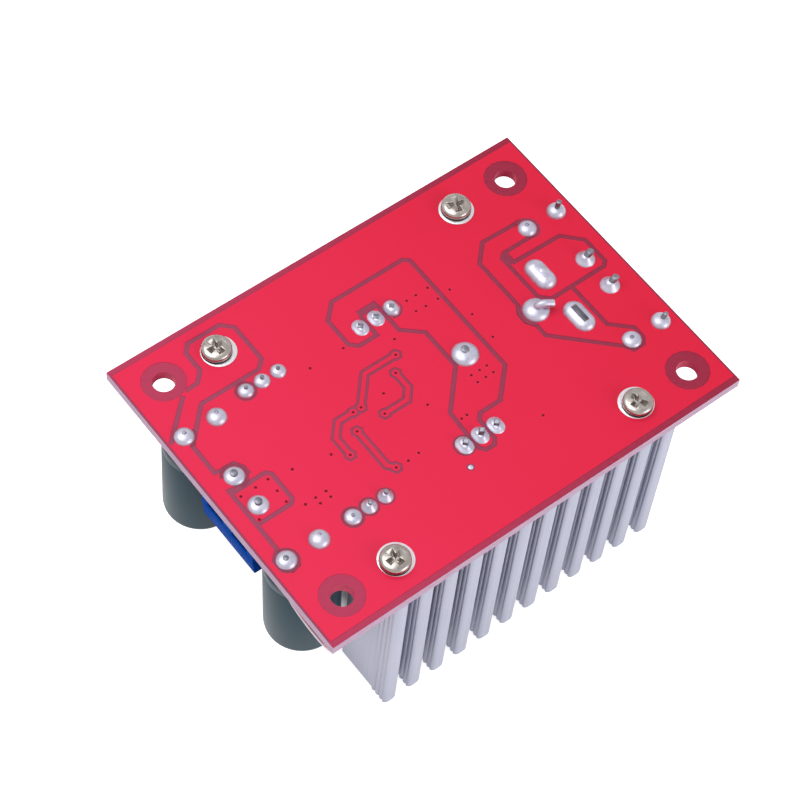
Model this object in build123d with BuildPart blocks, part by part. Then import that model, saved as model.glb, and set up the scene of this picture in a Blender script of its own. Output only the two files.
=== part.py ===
from build123d import *
from math import atan, cos, degrees, radians, sin
import os

os.makedirs("parts", exist_ok=True)

# A step-up converter module, lying solder side up on the ends of its two heatsinks.
# X runs along the board to the fuse end, Y across it to the switching transistor, Z up.
# The floor is z = 0 and all sizes are in millimetres.

# Circuit board
board_length = 65.8
board_width = 48.0
board_thickness = 1.6
copper_step = 0.07
gap_width = 0.65
long_edge_band = 0.9
short_edge_band = 0.3
mount_inset_x = 4.9
mount_inset_y = 5.2
mount_shift = (0.25, -0.15)
mount_hole_radius = 1.5
mount_ring_radius = 3.0
ring_sides = 16

# Heatsinks: one extrusion used twice
heatsink_height = 26.4
heatsink_x = -0.3
heatsink_middle_y = -0.3
heatsink_tip_spread = 47.4
heatsink_depth = 9.4
base_thickness = 3.0
fin_count = 12
fin_pitch = 3.95
fin_web = 1.7
fin_tip = 2.1
fin_tip_chamfer = 0.3
rib_pitch = 0.8
rib_count = 3
port_radius = 1.35
port_wall = 1.0
port_sides = 8

# Screws that hold the board on the heatsinks
board_screw_spacing_x = 38.9
board_screw_spacing_y = 37.2
board_screw_radius = 1.2
board_screw_grip = 6.0
board_screw_hole_radius = 1.5
screw_head_radius = 2.15
screw_head_height = 1.7
screw_head_chamfer = 0.6
head_sides = 12
recess_width = 0.6
recess_length = 2.6
recess_depth = 1.0
washer_radius = 2.45
washer_thickness = 0.5
washer_gap = 0.05

# Power transistor and rectifier, each in a three-leg tab package
device_x = 0.16
mosfet_pin_y = 10.75
rectifier_pin_y = -11.0
device_width = 10.0
case_drop = 4.0
case_length = 9.2
case_depth = 4.5
case_chamfer = 0.5
tab_thickness = 1.3
tab_inset = 1.2
tab_hole_setback = 3.7
tab_end_margin = 2.7
tab_hole_radius = 1.9
lead_plane = 2.6
lead_width = 0.8
lead_thickness = 0.5
lead_pitch = 2.54
lead_bend_high = 1.2
lead_bend_low = 3.0
pad_sheet = 0.3
pad_sheet_margin = 1.0
device_screw_radius = 1.45
device_screw_head_radius = 2.7
device_screw_head_height = 1.9
device_hole_radius = 1.5
bush_flange = 0.8
bush_flange_radius = 3.0
bush_gap = 0.05

# Inductor: a ring core wound with one heavy wire
inductor_x = 12.1
core_length = 10.3
core_inner_radius = 7.0
core_outer_radius = 11.3
core_edge = 0.8
core_sides = 30
wire_radius = 0.65
wire_film = 0.12
wire_bend = 0.8
wire_sides = 6
turn_count = 17
lead_opening_angle = 28.0
inductor_drop = 0.3

# Capacitors: four radial cans
capacitor_x = 27.87
capacitor_y = 10.8
capacitor_radius = 5.0
capacitor_length = 16.5
capacitor_edge = 0.7
can_sides = 28
capacitor_pitch = 5.0
capacitor_lead_radius = 0.35
capacitor_lean = 1.6

# Screw terminals, two poles each
terminal_x = 28.6
terminal_pitch = 5.08
terminal_length = 11.0
terminal_height = 9.1
terminal_front = 2.9
terminal_back = 4.0
terminal_shoulder = 6.0
terminal_top_front = 2.5
terminal_top_back = 3.0
chamber_width = 4.0
chamber_front = 1.8
chamber_back = 2.4
chamber_top = 7.2
ledge_thickness = 0.5
window_width = 3.2
window_low = 1.1
window_high = 5.2
head_hole_radius = 2.0
clamp_screw_radius = 1.2
clamp_head_radius = 1.75
clamp_head_height = 1.3
slot_width = 0.6
slot_depth = 0.6
running_gap = 0.05
cage_width = 3.6
cage_depth = 3.0
cage_low = 0.8
cage_floor = 0.6
cage_wall = 0.5
cage_opening = 2.9
cage_roof = 0.9
strip_thickness = 0.5
strip_width = 2.0
strip_level = 3.95
strip_foot = 0.35
strip_back = 1.9
strip_front = 1.4
terminal_pin = 1.0

# Multi-turn trimmers
trimmer_x = -17.55
rear_trimmer_y = 11.5
front_trimmer_y = -11.05
trimmer_length = 9.53
trimmer_width = 4.83
trimmer_height = 10.03
trimmer_foot = 0.8
trimmer_foot_height = 0.4
trimmer_pin_radius = 0.28
trimmer_pin_pitch = 2.54
adjuster_inset = 1.9
adjuster_radius = 1.1
adjuster_depth = 2.0
adjuster_proud = 0.5
adjuster_slot_width = 0.45
adjuster_slot_depth = 0.5

# Blade fuse, soldered in by its blades
fuse_x = 22.08
fuse_blade_spacing = 8.05
fuse_drop = 3.0
fuse_length = 10.9
fuse_neck_length = 9.4
fuse_neck_height = 4.6
fuse_height = 8.6
fuse_thickness = 3.6
blade_width = 2.8
blade_thickness = 0.8

# Surface parts on the component face, as length along X, width along Y, height
chip_width = 3.9
chip_height = 1.5
chip_leg_reach = 1.05
chip_leg_hold = 0.3
chip_leg_width = 0.42
chip_leg_pitch = 1.27
chip_leg_thickness = 0.22
control_chip_length = 9.9
control_chip_place = (-8.6, -2.2)
control_chip_legs = 8
small_chip_length = 4.9
small_chip_legs = 4
amplifier_chip_place = (-17.6, 2.6)
regulator_chip_place = (-18.5, -3.6)
shunt_length = 6.3
shunt_width = 3.2
shunt_height = 0.6
shunt_places = [(-23.0, 3.0), (2.5, -3.6)]
small_part_length = 2.0
small_part_width = 1.25
small_part_height = 0.55
small_part_pitch_x = 3.0
small_part_pitch_y = 2.2
resistor_field = (-8.6, 4.4)
ceramic_field = (-8.6, -7.0)

# Through-hole soldering
lead_hole_gap = 0.2
drilled_sides = 6
solder_height = 0.9
solder_sides = 6
solder_shoulder = 0.3
solder_slope = 40
stub_height = 1.2
big_pad_radius = 1.35
trimmer_pad_radius = 1.05
device_pad_radius = 1.1
inductor_pad_radius = 1.87
fuse_pad_length = 5.1
fuse_pad_width = 3.1

# Places worked out from the sizes above
mount_spacing_x = board_length - 2 * mount_inset_x
mount_spacing_y = board_width - 2 * mount_inset_y
parts_y = -0.35
seat_z = heatsink_height
solder_z = seat_z + board_thickness
lead_end = board_thickness + stub_height
tab_hole_drop = case_drop + case_length + tab_hole_setback
tab_drop = tab_hole_drop + tab_end_margin
rear_face_y = heatsink_middle_y + heatsink_tip_spread / 2 - heatsink_depth
front_face_y = heatsink_middle_y - heatsink_tip_spread / 2 + heatsink_depth
board_screw_places = [
    (x, heatsink_middle_y + y)
    for x in (-board_screw_spacing_x / 2, board_screw_spacing_x / 2)
    for y in (-board_screw_spacing_y / 2, board_screw_spacing_y / 2)
]
capacitor_places = [
    (x, parts_y + y)
    for x in (-capacitor_x, capacitor_x)
    for y in (capacitor_y, -capacitor_y)
]
terminal_sides = {"output": -1, "input": 1}
trimmer_rows = {"rear": rear_trimmer_y, "front": front_trimmer_y}
device_rows = {"mosfet": (1, mosfet_pin_y), "rectifier": (-1, rectifier_pin_y)}
wire_inner = core_inner_radius - wire_film - wire_radius
wire_outer = core_outer_radius + wire_film + wire_radius
wire_side = core_length / 2 + wire_film + wire_radius
inductor_z = seat_z - inductor_drop - wire_outer - wire_radius


def save(piece, name):
    """Label a finished piece and write it to its own file."""
    piece.part.label = name
    export_step(piece.part, f"parts/{name}.step")


def hanging(x, y, outward=(1, 0, 0)):
    """A plane on the component face whose Z runs away from the board, down to the floor."""
    return Plane(origin=(x, y, seat_z), x_dir=outward, z_dir=(0, 0, -1))


# The board: drilled laminate, with the copper on its solder side cut through by isolation gaps
pour_gaps = [
    # From the rear output mounting hole round the trimmer and down to the output terminal
    [(-26.4, 15.9), (-24.4, 16.0), (-23.0, 17.4), (-23.0, 20.5), (-22.0, 21.6), (-17.0, 21.6),
     (-15.6, 20.2), (-15.6, 14.3), (-16.8, 13.2), (-25.8, 13.2), (-28.6, 10.4), (-30.3, 8.7),
     (-30.3, 4.0), (-29.4, 3.8), (-27.6, 3.8), (-26.9, 2.6), (-26.9, 1.4)],
    [(-27.0, 15.5), (-31.3, 11.5), (-32.4, 10.5)],
    # Box round the front output pin, running on to the front capacitor
    [(-30.4, 1.2), (-30.4, -9.2), (-31.6, -10.4), (-31.6, -11.9), (-30.6, -12.7), (-29.3, -12.4)],
    [(-30.4, 0.4), (-25.2, 0.4), (-24.6, -0.2), (-24.6, -4.5), (-25.2, -5.1), (-30.4, -5.1)],
    # Loop of the switching node, from the transistor past the inductor to the rectifier
    [(-1.3, 12.2), (-1.3, 8.6), (-4.2, 8.6), (-5.2, 9.6), (-5.2, 14.0), (-3.0, 16.1), (8.7, 16.1),
     (9.4, 15.4), (9.4, -4.6), (5.5, -8.4), (2.2, -8.4), (1.5, -9.2), (1.4, -12.4), (0.8, -13.1),
     (-0.5, -13.1), (-1.1, -12.4), (-1.1, -9.8), (-0.9, -6.2), (4.1, -1.0), (4.1, 5.3), (1.5, 7.6),
     (1.5, 12.2)],
    # Loops at the fuse end
    [(25.5, 12.0), (19.1, 12.2), (16.6, 9.7), (16.6, 1.6), (15.8, 0.4), (15.8, -1.0), (16.6, -2.2),
     (16.6, -4.1), (23.9, -11.3), (24.6, -12.5), (26.2, -12.5), (26.9, -11.6), (26.9, -9.9),
     (24.3, -7.4), (24.3, -0.4)],
    [(25.5, 9.2), (20.3, 9.2), (19.6, 8.6), (19.6, 1.2), (20.9, -0.1), (29.9, -0.1), (30.6, 0.5),
     (30.6, 4.6), (28.2, 7.1), (20.2, 7.3)],
]
wide_gaps = [
    ((-29.0, 0.55), 3.2, 1.1),
    ((0.15, 12.55), 3.1, 1.1),
    ((20.2, 8.1), 1.2, 1.8),
]
outlined_tracks = [
    [(-1.2, 4.8), (-6.2, 4.8), (-9.65, 1.05)],
    [(-10.9, 1.05), (-13.3, 1.05), (-15.0, -0.8), (-15.0, -3.75)],
    [(-2.9, 2.6), (-2.9, 0.0), (-4.2, -1.45), (-7.75, -1.45)],
    [(-12.2, -1.5), (-12.2, -7.6), (-11.4, -8.55)],
]
track_width = 0.55
track_clearance = 0.42
round_holes = [
    (x + offset, y, capacitor_lead_radius, big_pad_radius)
    for x, y in capacitor_places
    for offset in (-capacitor_pitch / 2, capacitor_pitch / 2)
]
round_holes += [
    (side * terminal_x, parts_y + offset, terminal_pin / 2**0.5, big_pad_radius)
    for side in terminal_sides.values()
    for offset in (-terminal_pitch / 2, terminal_pitch / 2)
]
round_holes += [
    (trimmer_x + step * trimmer_pin_pitch, y, trimmer_pin_radius, trimmer_pad_radius)
    for y in trimmer_rows.values()
    for step in (-1, 0, 1)
]
round_holes += [
    (device_x + step * lead_pitch, y, lead_width / 2, device_pad_radius)
    for _, y in device_rows.values()
    for step in (-1, 0, 1)
]
round_holes += [
    (inductor_x + side * wire_side, parts_y, wire_radius, inductor_pad_radius) for side in (-1, 1)
]
fuse_slots = [parts_y + side * fuse_blade_spacing / 2 for side in (-1, 1)]

with BuildPart() as circuit_board:
    with BuildSketch(Plane.XY.offset(seat_z)):
        Rectangle(board_length, board_width)
        with Locations(mount_shift):
            with GridLocations(mount_spacing_x, mount_spacing_y, 2, 2):
                Circle(mount_hole_radius, mode=Mode.SUBTRACT)
        with Locations(*board_screw_places):
            RegularPolygon(
                radius=board_screw_hole_radius, side_count=drilled_sides, mode=Mode.SUBTRACT
            )
        for hole_x, hole_y, lead_radius, _ in round_holes:
            with Locations((hole_x, hole_y)):
                RegularPolygon(
                    radius=lead_radius + lead_hole_gap, side_count=drilled_sides, mode=Mode.SUBTRACT
                )
        for slot_y in fuse_slots:
            with Locations((fuse_x, slot_y)):
                Rectangle(
                    blade_thickness + lead_hole_gap, blade_width + lead_hole_gap, mode=Mode.SUBTRACT
                )
    extrude(amount=board_thickness)
    with BuildSketch(Plane.XY.offset(solder_z)):
        Rectangle(board_length, board_width)
        Rectangle(
            board_length - 2 * short_edge_band, board_width - 2 * long_edge_band, mode=Mode.SUBTRACT
        )
        with Locations(mount_shift):
            with GridLocations(mount_spacing_x, mount_spacing_y, 2, 2):
                RegularPolygon(radius=mount_ring_radius, side_count=ring_sides)
        for middle, length, width in wide_gaps:
            with Locations(middle):
                Rectangle(length, width)
        for points in pour_gaps:
            with BuildLine():
                Polyline(*points)
            trace(line_width=gap_width)
        for points in outlined_tracks:
            with BuildLine():
                Polyline(*points)
            trace(line_width=track_width + 2 * track_clearance)
            with Locations(points[0], points[-1]):
                RegularPolygon(radius=track_width + track_clearance, side_count=drilled_sides)
        for points in outlined_tracks:
            with BuildLine():
                Polyline(*points)
            trace(line_width=track_width, mode=Mode.SUBTRACT)
            with Locations(points[0], points[-1]):
                RegularPolygon(radius=track_width, side_count=drilled_sides, mode=Mode.SUBTRACT)
    extrude(amount=-copper_step, mode=Mode.SUBTRACT)
save(circuit_board, "circuit_board")


# Heatsinks: finned aluminium extrusion with scalloped fin tips and a screw port near each end
with BuildSketch() as fin:
    with BuildLine():
        outline = [(0, 0), (fin_web / 2, 0)]
        rib_start = heatsink_depth - (rib_count + 0.8) * rib_pitch
        for rib in range(rib_count):
            outline.append((fin_web / 2, rib_start + rib * rib_pitch))
            outline.append((fin_tip / 2, rib_start + (rib + 0.5) * rib_pitch))
        outline.append((fin_web / 2, rib_start + rib_count * rib_pitch))
        outline.append((fin_tip / 2, rib_start + (rib_count + 0.3) * rib_pitch))
        outline.append((fin_tip / 2, heatsink_depth))
        outline.append((0, heatsink_depth))
        Polyline(*outline)
        mirror(about=Plane.YZ)
    make_face()
    tip_corners = fin.vertices().group_by(Axis.Y)[-1].sort_by(Axis.X)
    chamfer([tip_corners[0], tip_corners[-1]], length=fin_tip_chamfer)

for name, side, face_y, device in (
    ("front_heatsink", -1, front_face_y, "rectifier"),
    ("rear_heatsink", 1, rear_face_y, "mosfet"),
):
    port_y = heatsink_middle_y + side * board_screw_spacing_y / 2
    port_depth = abs(port_y - face_y)
    ports = [
        (side * (x - heatsink_x), port_depth)
        for x in (-board_screw_spacing_x / 2, board_screw_spacing_x / 2)
    ]
    extrusion_plane = Plane(origin=(heatsink_x, face_y, 0), x_dir=(side, 0, 0), z_dir=(0, 0, 1))
    base_length = (fin_count - 1) * fin_pitch + fin_web
    with BuildPart() as heatsink:
        with BuildSketch(extrusion_plane):
            Rectangle(base_length, base_thickness, align=(Align.CENTER, Align.MIN))
            with GridLocations(fin_pitch, 1, fin_count, 1):
                add(fin.sketch)
            with Locations(*ports):
                RegularPolygon(radius=port_radius + port_wall, side_count=port_sides)
                RegularPolygon(radius=port_radius, side_count=port_sides, mode=Mode.SUBTRACT)
        extrude(amount=heatsink_height)
        with Locations(Plane(origin=(device_x, face_y, seat_z - tab_hole_drop), z_dir=(0, -side, 0))):
            Hole(device_hole_radius, depth=base_thickness)
    save(heatsink, name)


# Board screws: pan heads with a cross recess, each over a washer, cutting into the screw ports
head_base_z = solder_z + washer_thickness
shank_length = washer_thickness + board_thickness + board_screw_grip
with BuildPart() as heatsink_screws:
    with BuildSketch(Plane.XY.offset(head_base_z)):
        with Locations(*board_screw_places):
            RegularPolygon(radius=screw_head_radius, side_count=head_sides)
    extrude(amount=screw_head_height)
    chamfer(heatsink_screws.faces().group_by(Axis.Z)[-1].edges(), length=screw_head_chamfer)
    with BuildSketch(Plane.XY.offset(head_base_z)):
        with Locations(*board_screw_places):
            RegularPolygon(radius=board_screw_radius, side_count=drilled_sides)
    extrude(amount=-shank_length)
    with BuildSketch(Plane.XY.offset(head_base_z + screw_head_height)):
        with Locations(*board_screw_places):
            Rectangle(recess_length, recess_width)
            Rectangle(recess_width, recess_length)
    extrude(amount=-recess_depth, mode=Mode.SUBTRACT)
save(heatsink_screws, "heatsink_screws")

with BuildPart() as heatsink_washers:
    with BuildSketch(Plane.XY.offset(solder_z)):
        with Locations(*board_screw_places):
            RegularPolygon(radius=washer_radius, side_count=head_sides)
            RegularPolygon(
                radius=board_screw_radius + washer_gap, side_count=drilled_sides, mode=Mode.SUBTRACT
            )
    extrude(amount=washer_thickness)
save(heatsink_washers, "heatsink_washers")


# Power devices: moulded case, metal tab and legs, with an insulating sheet behind each tab
def wall_plane(side, y):
    """A plane across the board at y, facing the middle, whose own Y points up."""
    return Plane(origin=(device_x, y, seat_z), x_dir=(side, 0, 0), z_dir=(0, -side, 0))


soldered_leads = []
for device, (side, pin_y) in device_rows.items():
    face_y = rear_face_y if side > 0 else front_face_y
    inner = 0 if side > 0 else -1
    tab_back = abs(face_y) - pad_sheet
    leg_y = tab_back - lead_plane
    leg_plane = Plane(origin=(device_x, 0, seat_z), x_dir=(0, side, 0), z_dir=(side, 0, 0))

    with BuildPart() as case:
        with BuildSketch(leg_plane):
            with BuildLine():
                Polyline(
                    (tab_back, -case_drop),
                    (tab_back, -case_drop - tab_inset),
                    (tab_back - tab_thickness, -case_drop - tab_inset),
                    (tab_back - tab_thickness, -case_drop - case_length),
                    (tab_back - case_depth, -case_drop - case_length),
                    (tab_back - case_depth, -case_drop),
                    close=True,
                )
            make_face()
        extrude(amount=device_width / 2, both=True)
        chamfer(case.faces().sort_by(Axis.Y)[inner].edges(), length=case_chamfer)
    save(case, f"{device}_case")

    with BuildPart() as leadframe:
        with BuildSketch(wall_plane(side, side * tab_back)):
            with Locations((0, -case_drop - tab_inset)):
                Rectangle(
                    device_width, tab_drop - case_drop - tab_inset, align=(Align.CENTER, Align.MAX)
                )
            with Locations((0, -tab_hole_drop)):
                RegularPolygon(
                    radius=tab_hole_radius, side_count=drilled_sides, mode=Mode.SUBTRACT
                )
        extrude(amount=tab_thickness)
        for step in (-1, 0, 1):
            with BuildSketch(leg_plane.offset(side * step * lead_pitch)):
                with BuildLine():
                    Polyline(
                        (leg_y, -case_drop),
                        (leg_y, -lead_bend_low),
                        (abs(pin_y), -lead_bend_high),
                        (abs(pin_y), lead_end),
                    )
                trace(line_width=lead_thickness)
            extrude(amount=lead_width / 2, both=True)
    save(leadframe, f"{device}_leadframe")
    soldered_leads.append(leadframe)

    with BuildPart() as sheet:
        with BuildSketch(wall_plane(side, face_y)):
            with Locations((0, -case_drop + pad_sheet_margin)):
                Rectangle(
                    device_width + pad_sheet_margin,
                    tab_drop - case_drop + 2 * pad_sheet_margin,
                    align=(Align.CENTER, Align.MAX),
                )
            with Locations((0, -tab_hole_drop)):
                RegularPolygon(
                    radius=device_hole_radius, side_count=drilled_sides, mode=Mode.SUBTRACT
                )
        extrude(amount=pad_sheet)
    save(sheet, f"{device}_insulator")

    bush_y = side * (tab_back - tab_thickness)
    with BuildPart() as bush:
        with BuildSketch(wall_plane(side, bush_y)):
            with Locations((0, -tab_hole_drop)):
                RegularPolygon(radius=bush_flange_radius, side_count=head_sides)
        extrude(amount=bush_flange)
        with BuildSketch(wall_plane(side, bush_y)):
            with Locations((0, -tab_hole_drop)):
                RegularPolygon(radius=tab_hole_radius - bush_gap, side_count=drilled_sides)
        extrude(amount=-tab_thickness)
        with BuildSketch(wall_plane(side, bush_y - side * bush_flange)):
            with Locations((0, -tab_hole_drop)):
                RegularPolygon(radius=device_screw_radius + bush_gap, side_count=drilled_sides)
        extrude(amount=-tab_thickness - bush_flange, mode=Mode.SUBTRACT)
    save(bush, f"{device}_bush")

    head_y = bush_y - side * bush_flange
    with BuildPart() as screw:
        with BuildSketch(wall_plane(side, head_y)):
            with Locations((0, -tab_hole_drop)):
                RegularPolygon(radius=device_screw_head_radius, side_count=head_sides)
        extrude(amount=device_screw_head_height)
        chamfer(screw.faces().sort_by(Axis.Y)[inner].edges(), length=screw_head_chamfer)
        with BuildSketch(wall_plane(side, head_y)):
            with Locations((0, -tab_hole_drop)):
                RegularPolygon(radius=device_screw_radius, side_count=drilled_sides)
        extrude(amount=-bush_flange - tab_thickness - pad_sheet - base_thickness)
        with BuildSketch(wall_plane(side, head_y - side * device_screw_head_height)):
            with Locations((0, -tab_hole_drop)):
                Rectangle(recess_length, recess_width)
                Rectangle(recess_width, recess_length)
        extrude(amount=-recess_depth, mode=Mode.SUBTRACT)
    save(screw, f"{device}_screw")


# Inductor: coated powder core on edge, wound through its eye with one heavy enamelled wire
with BuildPart() as inductor_core:
    with BuildSketch(Plane.YZ.offset(inductor_x)):
        with Locations((parts_y, inductor_z)):
            RegularPolygon(radius=core_outer_radius, side_count=core_sides)
            RegularPolygon(radius=core_inner_radius, side_count=core_sides, mode=Mode.SUBTRACT)
    extrude(amount=core_length / 2, both=True)
    chamfer(inductor_core.edges().filter_by(Axis.X, reverse=True), length=core_edge)
save(inductor_core, "inductor_core")


def on_ring(x, radius, angle):
    """A point of the winding, its angle counted round the core from straight up."""
    turn = radians(angle)
    return (inductor_x + x, parts_y + radius * sin(turn), inductor_z + radius * cos(turn))


first_angle = lead_opening_angle / 2
turn_angle = (360 - lead_opening_angle) / turn_count
wire_points = [
    (inductor_x - wire_side, parts_y, seat_z + lead_end),
    (inductor_x - wire_side, parts_y, inductor_z + wire_outer),
]
for turn in range(turn_count + 1):
    inner_angle = first_angle + turn * turn_angle
    outer_angle = inner_angle + turn_angle / 2
    wire_points += [
        on_ring(-wire_side, wire_inner + wire_bend, inner_angle),
        on_ring(wire_bend - wire_side, wire_inner, inner_angle),
        on_ring(wire_side - wire_bend, wire_inner, inner_angle),
        on_ring(wire_side, wire_inner + wire_bend, inner_angle),
    ]
    if turn < turn_count:
        wire_points += [
            on_ring(wire_side, wire_outer - wire_bend, outer_angle),
            on_ring(wire_side - wire_bend, wire_outer, outer_angle),
            on_ring(wire_bend - wire_side, wire_outer, outer_angle),
            on_ring(-wire_side, wire_outer - wire_bend, outer_angle),
        ]
wire_points += [
    (inductor_x + wire_side, parts_y, inductor_z + wire_outer),
    (inductor_x + wire_side, parts_y, seat_z + lead_end),
]
with BuildPart() as inductor_winding:
    with BuildLine():
        Polyline(*wire_points)
    with BuildSketch(Plane(origin=wire_points[0], x_dir=(1, 0, 0), z_dir=(0, 0, -1))):
        RegularPolygon(radius=wire_radius, side_count=wire_sides)
    sweep(transition=Transition.RIGHT)
save(inductor_winding, "inductor_winding")


# Capacitors: sleeved aluminium cans, the front output one leaning as on the module
for number, (x, y) in enumerate(capacitor_places, start=1):
    lean = capacitor_lean if x < 0 and y < 0 else 0
    standoff = capacitor_radius * sin(radians(lean))
    seat = Plane(origin=(x, y, seat_z - standoff), x_dir=(1, 0, 0), z_dir=(0, 0, -1))
    with BuildPart() as can:
        with BuildSketch(seat.rotated((-lean / 2**0.5, -lean / 2**0.5, 0))):
            RegularPolygon(radius=capacitor_radius, side_count=can_sides)
        extrude(amount=capacitor_length)
        chamfer(can.faces().sort_by(Axis.Z)[0].edges(), length=capacitor_edge)
    save(can, f"capacitor_{number}")

with BuildPart() as capacitor_leads:
    with BuildSketch(Plane.XY.offset(seat_z)):
        for x, y in capacitor_places:
            with Locations((x, y)):
                with GridLocations(capacitor_pitch, 1, 2, 1):
                    RegularPolygon(radius=capacitor_lead_radius, side_count=wire_sides)
    extrude(amount=lead_end)
save(capacitor_leads, "capacitor_leads")


# Screw terminals: moulded housing, two rising cages, two clamp screws and bent contact strips
for name, side in terminal_sides.items():
    outward = (side, 0, 0)
    seat = hanging(side * terminal_x, parts_y, outward)
    profile_plane = Plane(origin=seat.origin, x_dir=outward, z_dir=(0, -side, 0))
    pole_offsets = [-terminal_pitch / 2, terminal_pitch / 2]

    with BuildPart() as housing:
        with BuildSketch(profile_plane):
            with BuildLine():
                Polyline(
                    (terminal_front, 0),
                    (terminal_front, -terminal_shoulder),
                    (terminal_top_front, -terminal_height),
                    (-terminal_top_back, -terminal_height),
                    (-terminal_back, -terminal_shoulder),
                    (-terminal_back, 0),
                    close=True,
                )
            make_face()
        extrude(amount=terminal_length / 2, both=True)
        with BuildSketch(seat):
            for offset in pole_offsets:
                with Locations((0, offset)):
                    with Locations((-chamber_back, 0)):
                        Rectangle(
                            chamber_back + chamber_front,
                            chamber_width,
                            align=(Align.MIN, Align.CENTER),
                        )
        extrude(amount=chamber_top, mode=Mode.SUBTRACT)
        with BuildSketch(seat.offset(chamber_top)):
            with Locations(*[(0, offset) for offset in pole_offsets]):
                RegularPolygon(radius=clamp_screw_radius + 3 * running_gap, side_count=port_sides)
        extrude(amount=ledge_thickness, mode=Mode.SUBTRACT)
        with BuildSketch(seat.offset(chamber_top + ledge_thickness)):
            with Locations(*[(0, offset) for offset in pole_offsets]):
                RegularPolygon(radius=head_hole_radius, side_count=port_sides)
        extrude(amount=terminal_height, mode=Mode.SUBTRACT)
        front_plane = Plane(
            origin=(side * (terminal_x + terminal_front), parts_y, seat_z),
            x_dir=(0, side, 0),
            z_dir=(side, 0, 0),
        )
        with BuildSketch(front_plane):
            with Locations(*[(offset, -window_low) for offset in pole_offsets]):
                Rectangle(
                    window_width, window_high - window_low, align=(Align.CENTER, Align.MAX)
                )
        extrude(amount=chamber_front - terminal_front, mode=Mode.SUBTRACT)
    save(housing, f"{name}_terminal_housing")

    with BuildPart() as strips:
        for offset in pole_offsets:
            with BuildSketch(profile_plane.offset(offset)):
                with BuildLine():
                    Polyline(
                        (strip_front, -strip_level),
                        (-strip_back, -strip_level),
                        (-strip_back, -strip_foot),
                        (terminal_pin / 2, -strip_foot),
                    )
                trace(line_width=strip_thickness)
            extrude(amount=strip_width / 2, both=True)
        with BuildSketch(seat.offset(strip_foot)):
            with Locations(*[(0, offset) for offset in pole_offsets]):
                Rectangle(terminal_pin, terminal_pin)
        extrude(amount=-strip_foot - lead_end)
    save(strips, f"{name}_terminal_contacts")
    soldered_leads.append(strips)

    for pole, offset in enumerate(pole_offsets, start=1):
        cage_height = cage_floor + cage_opening + cage_roof
        pole_seat = hanging(side * terminal_x, parts_y - side * offset, outward)
        with BuildPart() as cage:
            with BuildSketch(pole_seat.offset(cage_low)):
                Rectangle(cage_depth, cage_width)
            extrude(amount=cage_height)
            with BuildSketch(pole_seat.offset(cage_low + cage_floor)):
                Rectangle(cage_depth, cage_width - 2 * cage_wall)
            extrude(amount=cage_opening, mode=Mode.SUBTRACT)
            with BuildSketch(pole_seat.offset(cage_low + cage_floor + cage_opening)):
                RegularPolygon(radius=clamp_screw_radius + 3 * running_gap, side_count=port_sides)
            extrude(amount=cage_roof, mode=Mode.SUBTRACT)
        save(cage, f"{name}_clamp_cage_{pole}")

        head_level = chamber_top + ledge_thickness
        with BuildPart() as clamp_screw:
            with BuildSketch(pole_seat.offset(head_level)):
                RegularPolygon(radius=clamp_head_radius, side_count=head_sides)
            extrude(amount=clamp_head_height)
            with BuildSketch(pole_seat.offset(head_level)):
                Circle(clamp_screw_radius)
            extrude(amount=cage_low + cage_floor + cage_opening - head_level)
            with BuildSketch(pole_seat.offset(head_level + clamp_head_height)):
                Rectangle(2 * clamp_head_radius, slot_width)
            extrude(amount=-slot_depth, mode=Mode.SUBTRACT)
        save(clamp_screw, f"{name}_clamp_screw_{pole}")


# Trimmers: sealed moulded case on two feet, three pins, and a slotted brass adjuster
for name, y in trimmer_rows.items():
    seat = hanging(trimmer_x, y)
    adjuster_seat = hanging(trimmer_x + trimmer_length / 2 - adjuster_inset, y)
    with BuildPart() as case:
        with BuildSketch(seat):
            Rectangle(trimmer_length, trimmer_width)
        extrude(amount=trimmer_height)
        with BuildSketch(seat):
            Rectangle(trimmer_length - 2 * trimmer_foot, trimmer_width)
        extrude(amount=trimmer_foot_height, mode=Mode.SUBTRACT)
        with BuildSketch(adjuster_seat.offset(trimmer_height)):
            RegularPolygon(radius=adjuster_radius + 3 * running_gap, side_count=port_sides)
        extrude(amount=-adjuster_depth - running_gap, mode=Mode.SUBTRACT)
    save(case, f"{name}_trimmer_case")

    with BuildPart() as adjuster:
        with BuildSketch(adjuster_seat.offset(trimmer_height - adjuster_depth)):
            Circle(adjuster_radius)
        extrude(amount=adjuster_depth + adjuster_proud)
        with BuildSketch(adjuster_seat.offset(trimmer_height + adjuster_proud)):
            Rectangle(2 * adjuster_radius, adjuster_slot_width)
        extrude(amount=-adjuster_slot_depth, mode=Mode.SUBTRACT)
    save(adjuster, f"{name}_trimmer_adjuster")

    with BuildPart() as pins:
        with BuildSketch(seat.offset(trimmer_foot_height)):
            with GridLocations(trimmer_pin_pitch, 1, 3, 1):
                RegularPolygon(radius=trimmer_pin_radius, side_count=wire_sides)
        extrude(amount=-trimmer_foot_height - lead_end)
    save(pins, f"{name}_trimmer_pins")
    soldered_leads.append(pins)


# Blade fuse: moulded body with a narrower neck, and two flat blades into the board
fuse_seat = hanging(fuse_x, parts_y)
with BuildPart() as fuse_body:
    with BuildSketch(fuse_seat.offset(fuse_drop)):
        Rectangle(fuse_thickness, fuse_neck_length)
    extrude(amount=fuse_neck_height)
    with BuildSketch(fuse_seat.offset(fuse_drop + fuse_neck_height)):
        Rectangle(fuse_thickness, fuse_length)
    extrude(amount=fuse_height - fuse_neck_height)
    chamfer(fuse_body.faces().sort_by(Axis.Z)[0].edges(), length=fuse_thickness / 6)
save(fuse_body, "fuse_body")

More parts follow.
